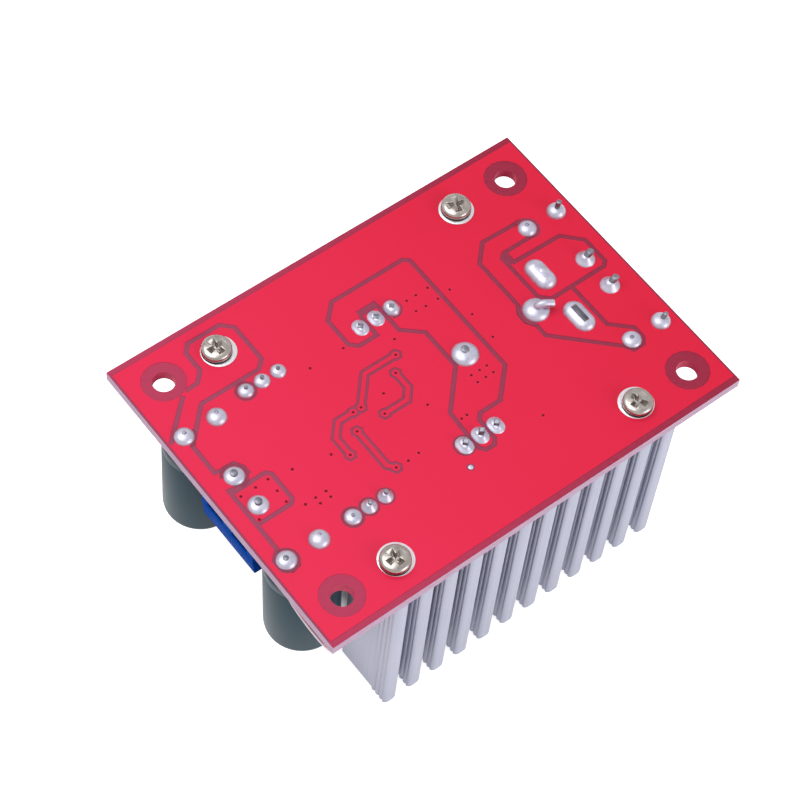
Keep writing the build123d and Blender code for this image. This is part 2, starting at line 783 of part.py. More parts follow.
with BuildPart() as fuse_blades:
    with BuildSketch(fuse_seat.offset(fuse_drop)):
        with GridLocations(1, fuse_blade_spacing, 1, 2):
            Rectangle(blade_thickness, blade_width)
    extrude(amount=-fuse_drop - lead_end)
save(fuse_blades, "fuse_blades")


# Surface parts soldered on the component face
chips = {
    "control_chip": (control_chip_place, control_chip_length, control_chip_legs),
    "amplifier_chip": (amplifier_chip_place, small_chip_length, small_chip_legs),
    "regulator_chip": (regulator_chip_place, small_chip_length, small_chip_legs),
}
for name, (place, chip_length, _) in chips.items():
    with BuildPart() as chip:
        with BuildSketch(hanging(*place).offset(chip_leg_thickness)):
            Rectangle(chip_length, chip_width)
        extrude(amount=chip_height - chip_leg_thickness)
    save(chip, name)

leg_row_spacing = chip_width + chip_leg_reach - chip_leg_hold
with BuildPart() as chip_legs:
    for place, _, leg_count in chips.values():
        with BuildSketch(hanging(*place)):
            with GridLocations(chip_leg_pitch, leg_row_spacing, leg_count, 2):
                Rectangle(chip_leg_width, chip_leg_reach + chip_leg_hold)
        extrude(amount=chip_leg_thickness)
save(chip_legs, "chip_legs")

with BuildPart() as shunt_resistors:
    for place in shunt_places:
        with BuildSketch(hanging(*place)):
            Rectangle(shunt_width, shunt_length)
    extrude(amount=shunt_height)
save(shunt_resistors, "shunt_resistors")

for name, field, columns in (("chip_resistors", resistor_field, 4), ("chip_ceramics", ceramic_field, 3)):
    with BuildPart() as small_parts:
        with BuildSketch(hanging(*field)):
            with GridLocations(small_part_pitch_x, small_part_pitch_y, columns, 2):
                Rectangle(small_part_length, small_part_width)
        extrude(amount=small_part_height)
    save(small_parts, name)


# Solder: a cone on every through-hole pad, closed round the lead that stands out of it
soldered_leads += [capacitor_leads, inductor_winding, fuse_blades]
with BuildPart() as solder_joints:
    for pad_x, pad_y, lead_radius, pad_radius in round_holes:
        with BuildSketch(Plane.XY.offset(solder_z)):
            with Locations((pad_x, pad_y)):
                RegularPolygon(radius=pad_radius, side_count=solder_sides)
        spread = pad_radius - lead_radius - solder_shoulder
        extrude(amount=solder_height, taper=degrees(atan(spread / solder_height)))
    with BuildSketch(Plane.XY.offset(solder_z)) as fuse_pads:
        with Locations(*[(fuse_x, slot_y) for slot_y in fuse_slots]):
            Rectangle(fuse_pad_width, fuse_pad_length)
        chamfer(fuse_pads.vertices(), length=fuse_pad_width / 4)
    extrude(amount=solder_height, taper=solder_slope)
    for leads in soldered_leads:
        add(leads.part, mode=Mode.SUBTRACT)
save(solder_joints, "solder_joints")
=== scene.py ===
from math import cos, pi, radians, sin

import bpy
from mathutils import Matrix, Quaternion, Vector


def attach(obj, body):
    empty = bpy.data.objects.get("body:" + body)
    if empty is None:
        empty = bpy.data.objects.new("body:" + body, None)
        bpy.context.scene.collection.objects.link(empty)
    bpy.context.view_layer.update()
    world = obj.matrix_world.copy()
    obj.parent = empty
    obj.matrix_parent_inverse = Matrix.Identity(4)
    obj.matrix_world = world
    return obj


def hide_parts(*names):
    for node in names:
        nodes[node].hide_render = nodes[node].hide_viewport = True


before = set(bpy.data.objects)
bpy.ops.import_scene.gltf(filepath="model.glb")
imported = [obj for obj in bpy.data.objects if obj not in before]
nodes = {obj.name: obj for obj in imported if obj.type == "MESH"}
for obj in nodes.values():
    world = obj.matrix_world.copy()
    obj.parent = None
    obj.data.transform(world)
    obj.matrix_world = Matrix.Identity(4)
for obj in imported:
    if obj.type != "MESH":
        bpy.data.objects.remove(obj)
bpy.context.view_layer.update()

MM = 0.001


# Camera: a long lens from above the output end and the front heatsink, tipped a little,
# as the module was photographed.
CAMERA_AZIMUTH = radians(-43.642)
CAMERA_ELEVATION = radians(57.874)
CAMERA_ROLL = radians(6.985)
CAMERA_DISTANCE = 327.923 * MM
AIM = Vector((-4.926, -0.942, 28.0)) * MM
SENSOR_WIDTH = 36.0
LENS = 115.98
CLIP_START = 0.01

camera_data = bpy.data.cameras.new("camera")
camera_data.lens = LENS
camera_data.sensor_width = SENSOR_WIDTH
camera_data.clip_start = CLIP_START
camera = bpy.data.objects.new("camera", camera_data)
bpy.context.scene.collection.objects.link(camera)
sight = Vector((
    sin(CAMERA_AZIMUTH) * cos(CAMERA_ELEVATION),
    -cos(CAMERA_AZIMUTH) * cos(CAMERA_ELEVATION),
    sin(CAMERA_ELEVATION),
))
camera.location = AIM + CAMERA_DISTANCE * sight
camera.rotation_mode = "QUATERNION"
camera.rotation_quaternion = (-sight).to_track_quat("-Z", "Y") @ Quaternion((0, 0, 1), CAMERA_ROLL)
bpy.context.scene.camera = camera
bpy.context.scene.view_settings.view_transform = "Standard"


# Floor: a plain white paper sweep, which keeps the module's soft shadow.
# To the camera and in reflections it is lit a little from itself, but not in the shade under the board.
FLOOR_SIZE = 6.0
FLOOR_COLOUR = "FFFFFF"
FLOOR_GLOW = 0.75
FLOOR_ROUGHNESS = 0.9
FLOOR_SHEEN = 0.1
SHADE_LENGTH = (17.7 * MM, 20.8 * MM)
SHADE_WIDTH = (9.6 * MM, 11.3 * MM)


def linear(hex_colour):
    """Give an sRGB hex colour as linear red, green, blue and alpha."""
    values = [int(hex_colour[at:at + 2], 16) / 255 for at in (0, 2, 4)]
    return [v / 12.92 if v <= 0.04045 else ((v + 0.055) / 1.055) ** 2.4 for v in values] + [1.0]


def add_node(material, kind, settings={}, links={}):
    """Add one node with its settings, and link its inputs to other nodes' outputs."""
    node = material.node_tree.nodes.new(kind)
    for name, value in settings.items():
        if isinstance(name, int) or name in node.inputs:
            node.inputs[name].default_value = value
        else:
            setattr(node, name, value)
    for name, source in links.items():
        material.node_tree.links.new(source, node.inputs[name])
    return node


def new_material(name):
    """Start an empty node material."""
    material = bpy.data.materials.new(name)
    material.use_nodes = True
    material.node_tree.nodes.clear()
    return material


def finish_material(material, surface):
    """Link a shader to the material's output."""
    add_node(material, "ShaderNodeOutputMaterial", {}, {"Surface": surface})
    return material


white_sweep = new_material("white_sweep")
path = add_node(white_sweep, "ShaderNodeLightPath")
seen = add_node(white_sweep, "ShaderNodeMath", {"operation": "MAXIMUM"},
                {0: path.outputs["Is Camera Ray"], 1: path.outputs["Is Transmission Ray"]})
seen_or_mirrored = add_node(white_sweep, "ShaderNodeMath", {"operation": "MAXIMUM"},
                            {0: seen.outputs[0], 1: path.outputs["Is Glossy Ray"]})
sweep_place = add_node(white_sweep, "ShaderNodeTexCoord")
sweep_reach = add_node(white_sweep, "ShaderNodeVectorMath", {"operation": "ABSOLUTE"},
                       {0: sweep_place.outputs["Object"]})
sweep_axes = add_node(white_sweep, "ShaderNodeSeparateXYZ", {}, {0: sweep_reach.outputs[0]})
beyond_ends = add_node(white_sweep, "ShaderNodeMapRange",
                       {"From Min": SHADE_LENGTH[0], "From Max": SHADE_LENGTH[1]},
                       {"Value": sweep_axes.outputs["X"]})
beyond_sides = add_node(white_sweep, "ShaderNodeMapRange",
                        {"From Min": SHADE_WIDTH[0], "From Max": SHADE_WIDTH[1]},
                        {"Value": sweep_axes.outputs["Y"]})
in_the_open = add_node(white_sweep, "ShaderNodeMath", {"operation": "MAXIMUM"},
                       {0: beyond_ends.outputs[0], 1: beyond_sides.outputs[0]})
open_glow = add_node(white_sweep, "ShaderNodeMath", {"operation": "MULTIPLY", 1: FLOOR_GLOW},
                     {0: in_the_open.outputs[0]})
glow = add_node(white_sweep, "ShaderNodeMath", {"operation": "MULTIPLY"},
                {0: seen_or_mirrored.outputs[0], 1: open_glow.outputs[0]})
paper = add_node(white_sweep, "ShaderNodeBsdfPrincipled",
                 {"Base Color": linear(FLOOR_COLOUR), "Roughness": FLOOR_ROUGHNESS,
                  "Emission Color": linear(FLOOR_COLOUR), "Specular IOR Level": FLOOR_SHEEN},
                 {"Emission Strength": glow.outputs[0]})
finish_material(white_sweep, paper.outputs[0])

bpy.ops.object.select_all(action="DESELECT")
bpy.ops.mesh.primitive_plane_add(size=FLOOR_SIZE, location=(0, 0, 0))
floor = bpy.context.object
floor.name = "floor"
floor.data.materials.append(white_sweep)


# Studio: a large soft box overhead, a second one low to the right of the camera and a white room.
# The camera sees the room as plain white and metals mirror it nearly so, while it lights only dimly.
ROOM_LIGHT = 0.44
ROOM_IN_MIRRORS = 0.85
ROOM_SEEN = 1.0
SOFT_BOXES = {
    "overhead_box": {"place": (-0.25, 0.35, 1.1), "size": 0.9, "watts": 6.6},
    "side_box": {"place": (0.35, -1.05, 0.5), "size": 0.7, "watts": 4.0},
}

room = bpy.data.worlds.new("room")
room.use_nodes = True
bpy.context.scene.world = room
room_light = room.node_tree.nodes["Background"]
room_light.inputs["Color"].default_value = (1, 1, 1, 1)
room_path = room.node_tree.nodes.new("ShaderNodeLightPath")
room_strength = room.node_tree.nodes.new("ShaderNodeMix")
room_strength.inputs[2].default_value = ROOM_LIGHT
room_strength.inputs[3].default_value = ROOM_IN_MIRRORS
room.node_tree.links.new(room_path.outputs["Is Glossy Ray"], room_strength.inputs[0])
room_shown = room.node_tree.nodes.new("ShaderNodeMix")
room_shown.inputs[3].default_value = ROOM_SEEN
room.node_tree.links.new(room_path.outputs["Is Camera Ray"], room_shown.inputs[0])
room.node_tree.links.new(room_strength.outputs[0], room_shown.inputs[2])
room.node_tree.links.new(room_shown.outputs[0], room_light.inputs["Strength"])
for name, soft_box in SOFT_BOXES.items():
    lamp_data = bpy.data.lights.new(name, "AREA")
    lamp_data.shape = "SQUARE"
    lamp_data.size = soft_box["size"]
    lamp_data.energy = soft_box["watts"]
    lamp = bpy.data.objects.new(name, lamp_data)
    lamp.location = soft_box["place"]
    lamp.rotation_mode = "QUATERNION"
    lamp.rotation_quaternion = (AIM - Vector(soft_box["place"])).to_track_quat("-Z", "Y")
    bpy.context.scene.collection.objects.link(lamp)


# Circuit board: glass-epoxy laminate with copper on both sides under a glossy red solder mask.
# The mask is bright over copper and dull in the etched gaps, and the sawn edge is pale with glass fibre.
BOARD_FACE = 28.0 * MM
GAP_DEPTH = 0.02 * MM
SKIN_DEPTH = 0.2 * MM
EDGE_X = 32.7 * MM
EDGE_Y = 23.8 * MM
BAND_Y = 23.0 * MM
HOLE_SHIFT = (0.25 * MM, -0.15 * MM, 0.0)
HOLE_PLACE = (28.0 * MM, 18.8 * MM, BOARD_FACE)
HOLE_BAND = 3.3 * MM
MASK_REDS = ("F42A54", "E82042")
GAP_REDS = ("A84A68", "98304A")
BAND_REDS = ("C03E60", "A02844")
HOLE_RED = "D8486C"
EDGE_PINK = "E2C6DC"
EDGE_FIBRE = "B48AA8"
PAINTED_SHADE_X = (-25.0 * MM, 30.0 * MM)
MASK_CLOUDS = 0.06 / MM
GAP_SPECKS = 2.2 / MM
GLASS_FIBRES = 0.6 / MM
MASK_RIPPLES = 0.9 / MM
MASK_SHEEN = 0.2


def dress(material, *node_names):
    """Give CAD nodes their only material."""
    for node_name in node_names:
        nodes[node_name].data.materials.clear()
        nodes[node_name].data.materials.append(material)


# Gives the eye the mask's even, glossy red, made a little deeper towards the fuse end by painted shade,
# the purplish red of the bare gaps, a duller red round the mounting holes and along the edges, and the pale
# sawn rim.
# The glass fibres are drawn coarser than real ones, so that they show.
red_mask = new_material("red_solder_mask")
place = add_node(red_mask, "ShaderNodeTexCoord")
axes = add_node(red_mask, "ShaderNodeSeparateXYZ", {}, {0: place.outputs["Object"]})
facing = add_node(red_mask, "ShaderNodeSeparateXYZ", {}, {0: place.outputs["Normal"]})
upright = add_node(red_mask, "ShaderNodeMath", {"operation": "ABSOLUTE"}, {0: facing.outputs["Z"]})
is_wall = add_node(red_mask, "ShaderNodeMath", {"operation": "LESS_THAN", 1: 0.5}, {0: upright.outputs[0]})
below_face = add_node(red_mask, "ShaderNodeMath",
                      {"operation": "LESS_THAN", 1: BOARD_FACE - GAP_DEPTH},
                      {0: axes.outputs["Z"]})
above_core = add_node(red_mask, "ShaderNodeMath",
                      {"operation": "GREATER_THAN", 1: BOARD_FACE - SKIN_DEPTH},
                      {0: axes.outputs["Z"]})
is_gap = add_node(red_mask, "ShaderNodeMath", {"operation": "MULTIPLY"},
                  {0: below_face.outputs[0], 1: above_core.outputs[0]})
reach = add_node(red_mask, "ShaderNodeVectorMath", {"operation": "ABSOLUTE"},
                 {0: place.outputs["Object"]})
reach_axes = add_node(red_mask, "ShaderNodeSeparateXYZ", {}, {0: reach.outputs[0]})
past_x = add_node(red_mask, "ShaderNodeMath", {"operation": "GREATER_THAN", 1: EDGE_X},
                  {0: reach_axes.outputs["X"]})
past_y = add_node(red_mask, "ShaderNodeMath", {"operation": "GREATER_THAN", 1: EDGE_Y},
                  {0: reach_axes.outputs["Y"]})
is_rim = add_node(red_mask, "ShaderNodeMath", {"operation": "MAXIMUM"},
                  {0: past_x.outputs[0], 1: past_y.outputs[0]})
in_band = add_node(red_mask, "ShaderNodeMath", {"operation": "GREATER_THAN", 1: BAND_Y},
                   {0: reach_axes.outputs["Y"]})
from_holes = add_node(red_mask, "ShaderNodeVectorMath", {"operation": "SUBTRACT", 1: HOLE_SHIFT},
                      {0: place.outputs["Object"]})
hole_reach = add_node(red_mask, "ShaderNodeVectorMath", {"operation": "ABSOLUTE"},
                      {0: from_holes.outputs[0]})
hole_distance = add_node(red_mask, "ShaderNodeVectorMath", {"operation": "DISTANCE", 1: HOLE_PLACE},
                         {0: hole_reach.outputs[0]})
near_hole = add_node(red_mask, "ShaderNodeMath", {"operation": "LESS_THAN", 1: HOLE_BAND},
                     {0: hole_distance.outputs["Value"]})
is_band = add_node(red_mask, "ShaderNodeMath", {"operation": "MAXIMUM"},
                   {0: in_band.outputs[0], 1: near_hole.outputs[0]})
# Painted shade: the mask's red and the gaps' red deepen from the -X end towards the fuse end.
along = add_node(red_mask, "ShaderNodeMapRange", {"From Min": PAINTED_SHADE_X[0], "From Max": PAINTED_SHADE_X[1]},
                 {"Value": axes.outputs["X"]})
cloud = add_node(red_mask, "ShaderNodeTexNoise", {"Scale": MASK_CLOUDS, "Detail": 5.0, "Roughness": 0.65},
                 {"Vector": place.outputs["Object"]})
drift = add_node(red_mask, "ShaderNodeMath", {"operation": "MULTIPLY_ADD", 1: 0.5},
                 {0: cloud.outputs[0], 2: along.outputs[0]})
depth = add_node(red_mask, "ShaderNodeMath", {"operation": "SUBTRACT", 1: 0.25}, {0: drift.outputs[0]})
mask_tone = add_node(red_mask, "ShaderNodeMix",
                     {"data_type": "RGBA", 6: linear(MASK_REDS[0]), 7: linear(MASK_REDS[1])},
                     {0: depth.outputs[0]})
speck = add_node(red_mask, "ShaderNodeTexNoise", {"Scale": GAP_SPECKS, "Detail": 3.0},
                 {"Vector": place.outputs["Object"]})
gap_drift = add_node(red_mask, "ShaderNodeMath", {"operation": "MULTIPLY_ADD", 1: 0.7},
                     {0: speck.outputs[0], 2: along.outputs[0]})
gap_depth = add_node(red_mask, "ShaderNodeMath", {"operation": "SUBTRACT", 1: 0.35},
                     {0: gap_drift.outputs[0]})
loop_tone = add_node(red_mask, "ShaderNodeMix",
                     {"data_type": "RGBA", 6: linear(GAP_REDS[0]), 7: linear(GAP_REDS[1])},
                     {0: gap_depth.outputs[0]})
band_tone = add_node(red_mask, "ShaderNodeMix",
                     {"data_type": "RGBA", 6: linear(BAND_REDS[0]), 7: linear(BAND_REDS[1])},
                     {0: gap_depth.outputs[0]})
gap_tone = add_node(red_mask, "ShaderNodeMix", {"data_type": "RGBA"},
                    {0: is_band.outputs[0], 6: loop_tone.outputs[2], 7: band_tone.outputs[2]})
face_tone = add_node(red_mask, "ShaderNodeMix", {"data_type": "RGBA"},
                     {0: is_gap.outputs[0], 6: mask_tone.outputs[2], 7: gap_tone.outputs[2]})
weave_place = add_node(red_mask, "ShaderNodeMapping", {"Scale": (1.0, 1.0, 8.0)},
                       {"Vector": place.outputs["Object"]})
fibre = add_node(red_mask, "ShaderNodeTexNoise", {"Scale": GLASS_FIBRES, "Detail": 3.0},
                 {"Vector": weave_place.outputs[0]})
rim_tone = add_node(red_mask, "ShaderNodeMix",
                    {"data_type": "RGBA", 6: linear(EDGE_PINK), 7: linear(EDGE_FIBRE)},
                    {0: fibre.outputs[0]})
wall_tone = add_node(red_mask, "ShaderNodeMix", {"data_type": "RGBA", 6: linear(HOLE_RED)},
                     {0: is_rim.outputs[0], 7: rim_tone.outputs[2]})
board_tone = add_node(red_mask, "ShaderNodeMix", {"data_type": "RGBA"},
                      {0: is_wall.outputs[0], 6: face_tone.outputs[2], 7: wall_tone.outputs[2]})
matt = add_node(red_mask, "ShaderNodeMath", {"operation": "MAXIMUM"},
                {0: is_wall.outputs[0], 1: is_gap.outputs[0]})
gloss = add_node(red_mask, "ShaderNodeMapRange", {"To Min": 0.3, "To Max": 0.6}, {"Value": matt.outputs[0]})
ripple = add_node(red_mask, "ShaderNodeTexNoise", {"Scale": MASK_RIPPLES, "Detail": 2.0},
                  {"Vector": place.outputs["Object"]})
ripple_bump = add_node(red_mask, "ShaderNodeBump", {"Strength": 0.08, "Distance": 0.02 * MM},
                       {"Height": ripple.outputs[0]})
board_shader = add_node(red_mask, "ShaderNodeBsdfPrincipled", {"Specular IOR Level": MASK_SHEEN},
                        {"Base Color": board_tone.outputs[2], "Normal": ripple_bump.outputs[0],
                         "Roughness": gloss.outputs[0]})
finish_material(red_mask, board_shader.outputs[0])
dress(red_mask, "circuit_board")


# Vias: drilled and plated holes that join the board's two copper layers. The mask runs over them and
# leaves each a faint ring round a dark dimple.
VIA_RING = 0.3
VIA_HOLE = 0.2
VIA_RISE = 0.02
VIA_SHOULDER = 0.9
DIMPLE_SHARE = 0.8
DIMPLE_RISE = 0.006
VIA_SIDES = 16
RELIEF = 0.03 * MM
VIA_PLACES = (
    (5.1, 10.6), (6.6, 10.6), (8.6, 10.65), (5.1, 8.6), (6.65, 8.5), (8.65, 8.5), (10.8, 8.75),
    (10.8, 4.0), (10.8, -0.3), (-11.4, 9.5), (-6.1, 9.5), (0.15, 6.8), (-6.05, 1.05), (4.85, -3.3),
    (6.2, -3.3), (7.4, -3.3), (4.85, -4.6), (6.2, -4.6), (7.45, -4.6), (-0.25, -7.7), (0.65, -7.65),
    (-2.5, -3.55), (-7.8, -8.5), (-9.55, -8.65), (8.55, -13.35), (-22.15, -1.2), (-16.9, -2.3),
    (-23.8, -6.2), (-22.2, -6.15), (-20.6, -6.15), (-22.2, -7.15), (-20.6, -7.15), (-29.65, -0.65),
    (-27.4, -0.65), (-25.45, -0.6), (-29.7, -4.6), (-25.5, -2.6), (-25.5, -4.5), (-1.2, 4.8),
    (-9.65, 1.05), (-10.9, 1.05), (-15.0, -3.75), (-2.9, 2.6), (-7.75, -1.45), (-12.2, -1.5),
    (-11.4, -8.55),
)


def copy_to(master, placement):
    """Copy a piece with its own mesh, moved by a matrix."""
    piece = master.copy()
    piece.data = master.data.copy()
    piece.data.transform(placement)
    bpy.context.scene.collection.objects.link(piece)
    return piece


def at(x, y, z, turn=0.0):
    """A matrix that turns about Z by degrees, then moves by millimetres."""
    return Matrix.Translation((x * MM, y * MM, z * MM)) @ Matrix.Rotation(radians(turn), 4, "Z")


def select_only(piece):
    """Leave one object selected and active."""
    bpy.ops.object.select_all(action="DESELECT")
    piece.select_set(True)
    bpy.context.view_layer.objects.active = piece


def joined(pieces, name):
    """Join pieces into one object of a new name."""
    bpy.ops.object.select_all(action="DESELECT")
    for piece in pieces:
        piece.select_set(True)
    bpy.context.view_layer.objects.active = pieces[0]
    if len(pieces) > 1:
        bpy.ops.object.join()
    pieces[0].name = name
    return pieces[0]


def smooth(piece, angle=40):
    """Shade smooth, with edges sharper than an angle in degrees left crisp."""
    select_only(piece)
    bpy.ops.object.shade_smooth_by_angle(angle=radians(angle))


def turned(rings, sides):
    """Turn a solid about Z: a filled circle drawn up ring by ring, each a radius and a height in mm."""
    radius, height = rings[0]
    bpy.ops.object.select_all(action="DESELECT")
    bpy.ops.mesh.primitive_circle_add(vertices=sides, radius=radius * MM, fill_type="NGON",
                                      location=(0, 0, height * MM))
    piece = bpy.context.object
    bpy.ops.object.transform_apply(location=True)
    bpy.ops.object.mode_set(mode="EDIT")
    bpy.ops.mesh.select_mode(type="FACE")
    bpy.ops.mesh.select_all(action="SELECT")
    for next_radius, next_height in rings[1:]:
        bpy.ops.mesh.extrude_region_move(
            TRANSFORM_OT_translate={"value": (0, 0, (next_height - height) * MM)})
        factor = next_radius / radius
        bpy.ops.transform.resize(value=(factor, factor, 1), center_override=(0, 0, next_height * MM))
        radius, height = next_radius, next_height
    bpy.ops.mesh.select_all(action="SELECT")
    bpy.ops.mesh.normals_make_consistent(inside=False)
    bpy.ops.object.mode_set(mode="OBJECT")
    return piece


def finish_piece(piece, material, body, slot, *replaced):
    """Give a piece its only material, its body and the nodes that it stands for; the slot is not used."""
    piece.data.materials.clear()
    piece.data.materials.append(material)
    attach(piece, body)
    if replaced:
        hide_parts(*replaced)


def mottled(name, dark, light, specks, rough, bump, metallic=0.0, specular=0.5):
    """A material of two close tones in noise, with its roughness and relief from the same noise.

    Specks are counted to the millimetre, and most are coarser than real ones, so that they show.
    """
    material = new_material(name)
    where = add_node(material, "ShaderNodeTexCoord")
    noise = add_node(material, "ShaderNodeTexNoise", {"Scale": specks / MM, "Detail": 3.0},
                     {"Vector": where.outputs["Object"]})
    tone = add_node(material, "ShaderNodeMix", {"data_type": "RGBA", 6: linear(dark), 7: linear(light)},
                    {0: noise.outputs[0]})
    roughness = add_node(material, "ShaderNodeMapRange", {"To Min": rough[0], "To Max": rough[1]},
                         {"Value": noise.outputs[0]})
    relief = add_node(material, "ShaderNodeBump", {"Strength": bump, "Distance": RELIEF},
                      {"Height": noise.outputs[0]})
    shader = add_node(material, "ShaderNodeBsdfPrincipled",
                      {"Metallic": metallic, "Specular IOR Level": specular},
                      {"Base Color": tone.outputs[2], "Roughness": roughness.outputs[0],
                       "Normal": relief.outputs[0]})
    return finish_material(material, shader.outputs[0])


# Gives the eye the mask's bright lip, and the dark of a hole that light doesn't reach.
mask_lip = mottled("mask_lip_round_via", "EC3050", "F63E5C", 0.9, (0.4, 0.5), 0.05, 0.0, 0.08)
hole_shade = mottled("shaded_via_hole", "701428", "8C1C36", 1.5, (0.6, 0.7), 0.05, 0.0, 0.1)

via_lip = turned(((VIA_RING, 0.0), (VIA_RING * VIA_SHOULDER, VIA_RISE), (VIA_HOLE, VIA_RISE)), VIA_SIDES)
smooth(via_lip)
via_hole = turned(((VIA_HOLE, VIA_RISE), (VIA_HOLE * DIMPLE_SHARE, VIA_RISE + DIMPLE_RISE)), VIA_SIDES)
lips, holes = [], []
for x, y in VIA_PLACES:
    spot = Matrix.Translation((x * MM, y * MM, BOARD_FACE))
    lips.append(copy_to(via_lip, spot))
    holes.append(copy_to(via_hole, spot))
bpy.data.objects.remove(via_lip)
bpy.data.objects.remove(via_hole)
finish_piece(joined(lips, "via_lips"), mask_lip, "module", "laminate")
finish_piece(joined(holes, "via_holes"), hole_shade, "module", "laminate")


# Pad clearances: the bare rings, or parts of rings, etched in the copper round pads that it passes by.
# As x, y, outer radius and width, and for part rings the angles where they start and how far they run.
FULL_CLEARANCES = (
    (-20.09, 11.5, 1.5, 0.36), (-20.09, -11.05, 1.55, 0.36), (-17.55, -11.05, 1.38, 0.28),
    (-15.01, -11.05, 1.28, 0.2), (-2.38, -11.0, 1.56, 0.3), (-3.75, -13.95, 0.52, 0.16),
)
PART_CLEARANCES = (
    (25.37, 10.45, 1.8, 0.45, -92.0, 210.0), (-28.6, 2.19, 1.85, 0.42, -92.0, 250.0),
    (-30.37, 10.45, 1.65, 0.28, -92.0, 105.0), (-30.37, -11.15, 1.78, 0.36, -142.0, 240.0),
    (18.02, -0.35, 2.45, 0.55, 128.0, 105.0), (2.7, 10.75, 1.5, 0.25, -120.0, 200.0),
)
CLEARANCE_SIDES = 40
CLEARANCE_RISE = 0.005
CLEARANCE_FOOT = 0.02
CLEARANCE_STEP = 0.001
OVERCUT = 1.0


def cut_with(piece, tool, operation="DIFFERENCE"):
    """Cut a tool's solid out of a piece, or join it on, and throw the tool away."""
    select_only(piece)
    cut = piece.modifiers.new("cut", "BOOLEAN")
    cut.operation = operation
    cut.solver = "EXACT"
    cut.object = tool
    bpy.ops.object.modifier_apply(modifier=cut.name)
    bpy.data.objects.remove(tool)


def ring(outer, inner, low, high, sides):
    """A flat ring between two radii and two heights, in millimetres."""
    disc = turned(((outer, low), (outer, high)), sides)
    cut_with(disc, turned(((inner, low - OVERCUT), (inner, high + OVERCUT)), sides))
    return disc


# Gives the eye the dull purplish red of laminate seen through the mask alone.
bare_gap = mottled("bare_gap_under_mask", "8C2A46", "A4405C", 2.2, (0.4, 0.6), 0.1, 0.0, 0.3)

etched = []
for x, y, outer, width in FULL_CLEARANCES:
    rise = CLEARANCE_RISE + CLEARANCE_STEP * len(etched)
    band = ring(outer, outer - width, -CLEARANCE_FOOT, rise, CLEARANCE_SIDES)
    band.data.transform(Matrix.Translation((x * MM, y * MM, BOARD_FACE)))
    etched.append(band)
for x, y, outer, width, start, sweep in PART_CLEARANCES:
    bpy.ops.object.select_all(action="DESELECT")
    bpy.ops.mesh.primitive_plane_add(size=1.0)
    band = bpy.context.object
    band.data.transform(at(outer - width / 2, 0, 0) @ Matrix.Rotation(pi / 2, 4, "X")
                        @ Matrix.Diagonal((width * MM, 2 * CLEARANCE_RISE * MM, 1, 1)))
    bpy.ops.object.mode_set(mode="EDIT")
    bpy.ops.mesh.select_all(action="SELECT")
    bpy.ops.mesh.spin(steps=round(CLEARANCE_SIDES * sweep / 360), angle=-radians(sweep),
                      center=(0, 0, 0), axis=(0, 0, 1))
    bpy.ops.mesh.select_all(action="SELECT")
    bpy.ops.mesh.normals_make_consistent(inside=False)
    bpy.ops.object.mode_set(mode="OBJECT")
    band.data.transform(Matrix.Translation((x * MM, y * MM, BOARD_FACE))
                        @ Matrix.Rotation(radians(start), 4, "Z"))
    etched.append(band)
finish_piece(joined(etched, "pad_clearances"), bare_gap, "module", "laminate")


# Board screws: nickel-plated steel pan heads with a cross recess, driven into the heatsinks' screw ports,
# each over a bright flat washer with a spring washer between. No two sit alike.
# As the port's place, how far the head and spring washer have slipped, and the recess's turn in degrees.
SCREW_BASE = 28.5
HEAD_RINGS = ((1.98, 0.0), (2.02, 0.12), (2.02, 0.4), (1.99, 0.54), (1.9, 0.67), (1.73, 0.78),
              (1.44, 0.87), (1.0, 0.93), (0.5, 0.95))
HEAD_EDGE = 0.03
SHANK_RINGS = ((1.0, -7.9), (1.18, -7.5), (1.2, 0.02))
ROUND_SIDES = 48
RECESS_ARM = 1.34
RECESS_WIDTH = 1.06
RECESS_WAIST = 0.5
RECESS_FOOT = 0.36
RECESS_DEPTH = 0.95
RECESS_MIDDLE = 0.5
SCREWS = (
    ((-19.45, 18.3), (-0.25, 0.15), 4), ((19.45, 18.3), (0.0, 0.1), 70),
    ((-19.45, -18.9), (-0.3, -0.2), 6), ((19.45, -18.9), (-0.05, -0.3), 18),
)
FLAT_WASHER = (2.4, 1.4, 28.0, 28.2)
SPRING_WASHER = (2.04, 1.35, 28.2, 28.5)
WASHER_EDGE = 0.05


def ease(piece, width, segments=2, angle=40):
    """Round a piece's edges that are sharper than an angle in degrees, by a width in millimetres."""
    select_only(piece)
    edge = piece.modifiers.new("edge", "BEVEL")
    edge.width = width * MM
    edge.segments = segments
    edge.limit_method = "ANGLE"
    edge.angle_limit = radians(angle)
    bpy.ops.object.modifier_apply(modifier=edge.name)


def box(x, y, z, length, width, height):
    """A box centred on a place, in millimetres."""
    bpy.ops.object.select_all(action="DESELECT")
    bpy.ops.mesh.primitive_cube_add(size=1.0)
    piece = bpy.context.object
    piece.data.transform(at(x, y, z) @ Matrix.Diagonal((length * MM, width * MM, height * MM, 1)))
    return piece


# Gives the eye warm, slightly worn plating that mirrors the room in soft patches.
nickel_plate = mottled("nickel_plate", "8A8280", "CAC3BC", 1.2, (0.14, 0.34), 0.25, 1.0)
# Gives the eye the flat washers' clean, pale shine, and the dark of oiled spring steel.
bright_zinc = mottled("bright_zinc_plate", "D8D6DC", "F0EEF4", 0.9, (0.25, 0.4), 0.05, 0.6)
spring_steel = mottled("oiled_spring_steel", "2C2826", "4A4440", 0.9, (0.3, 0.5), 0.1, 0.8)

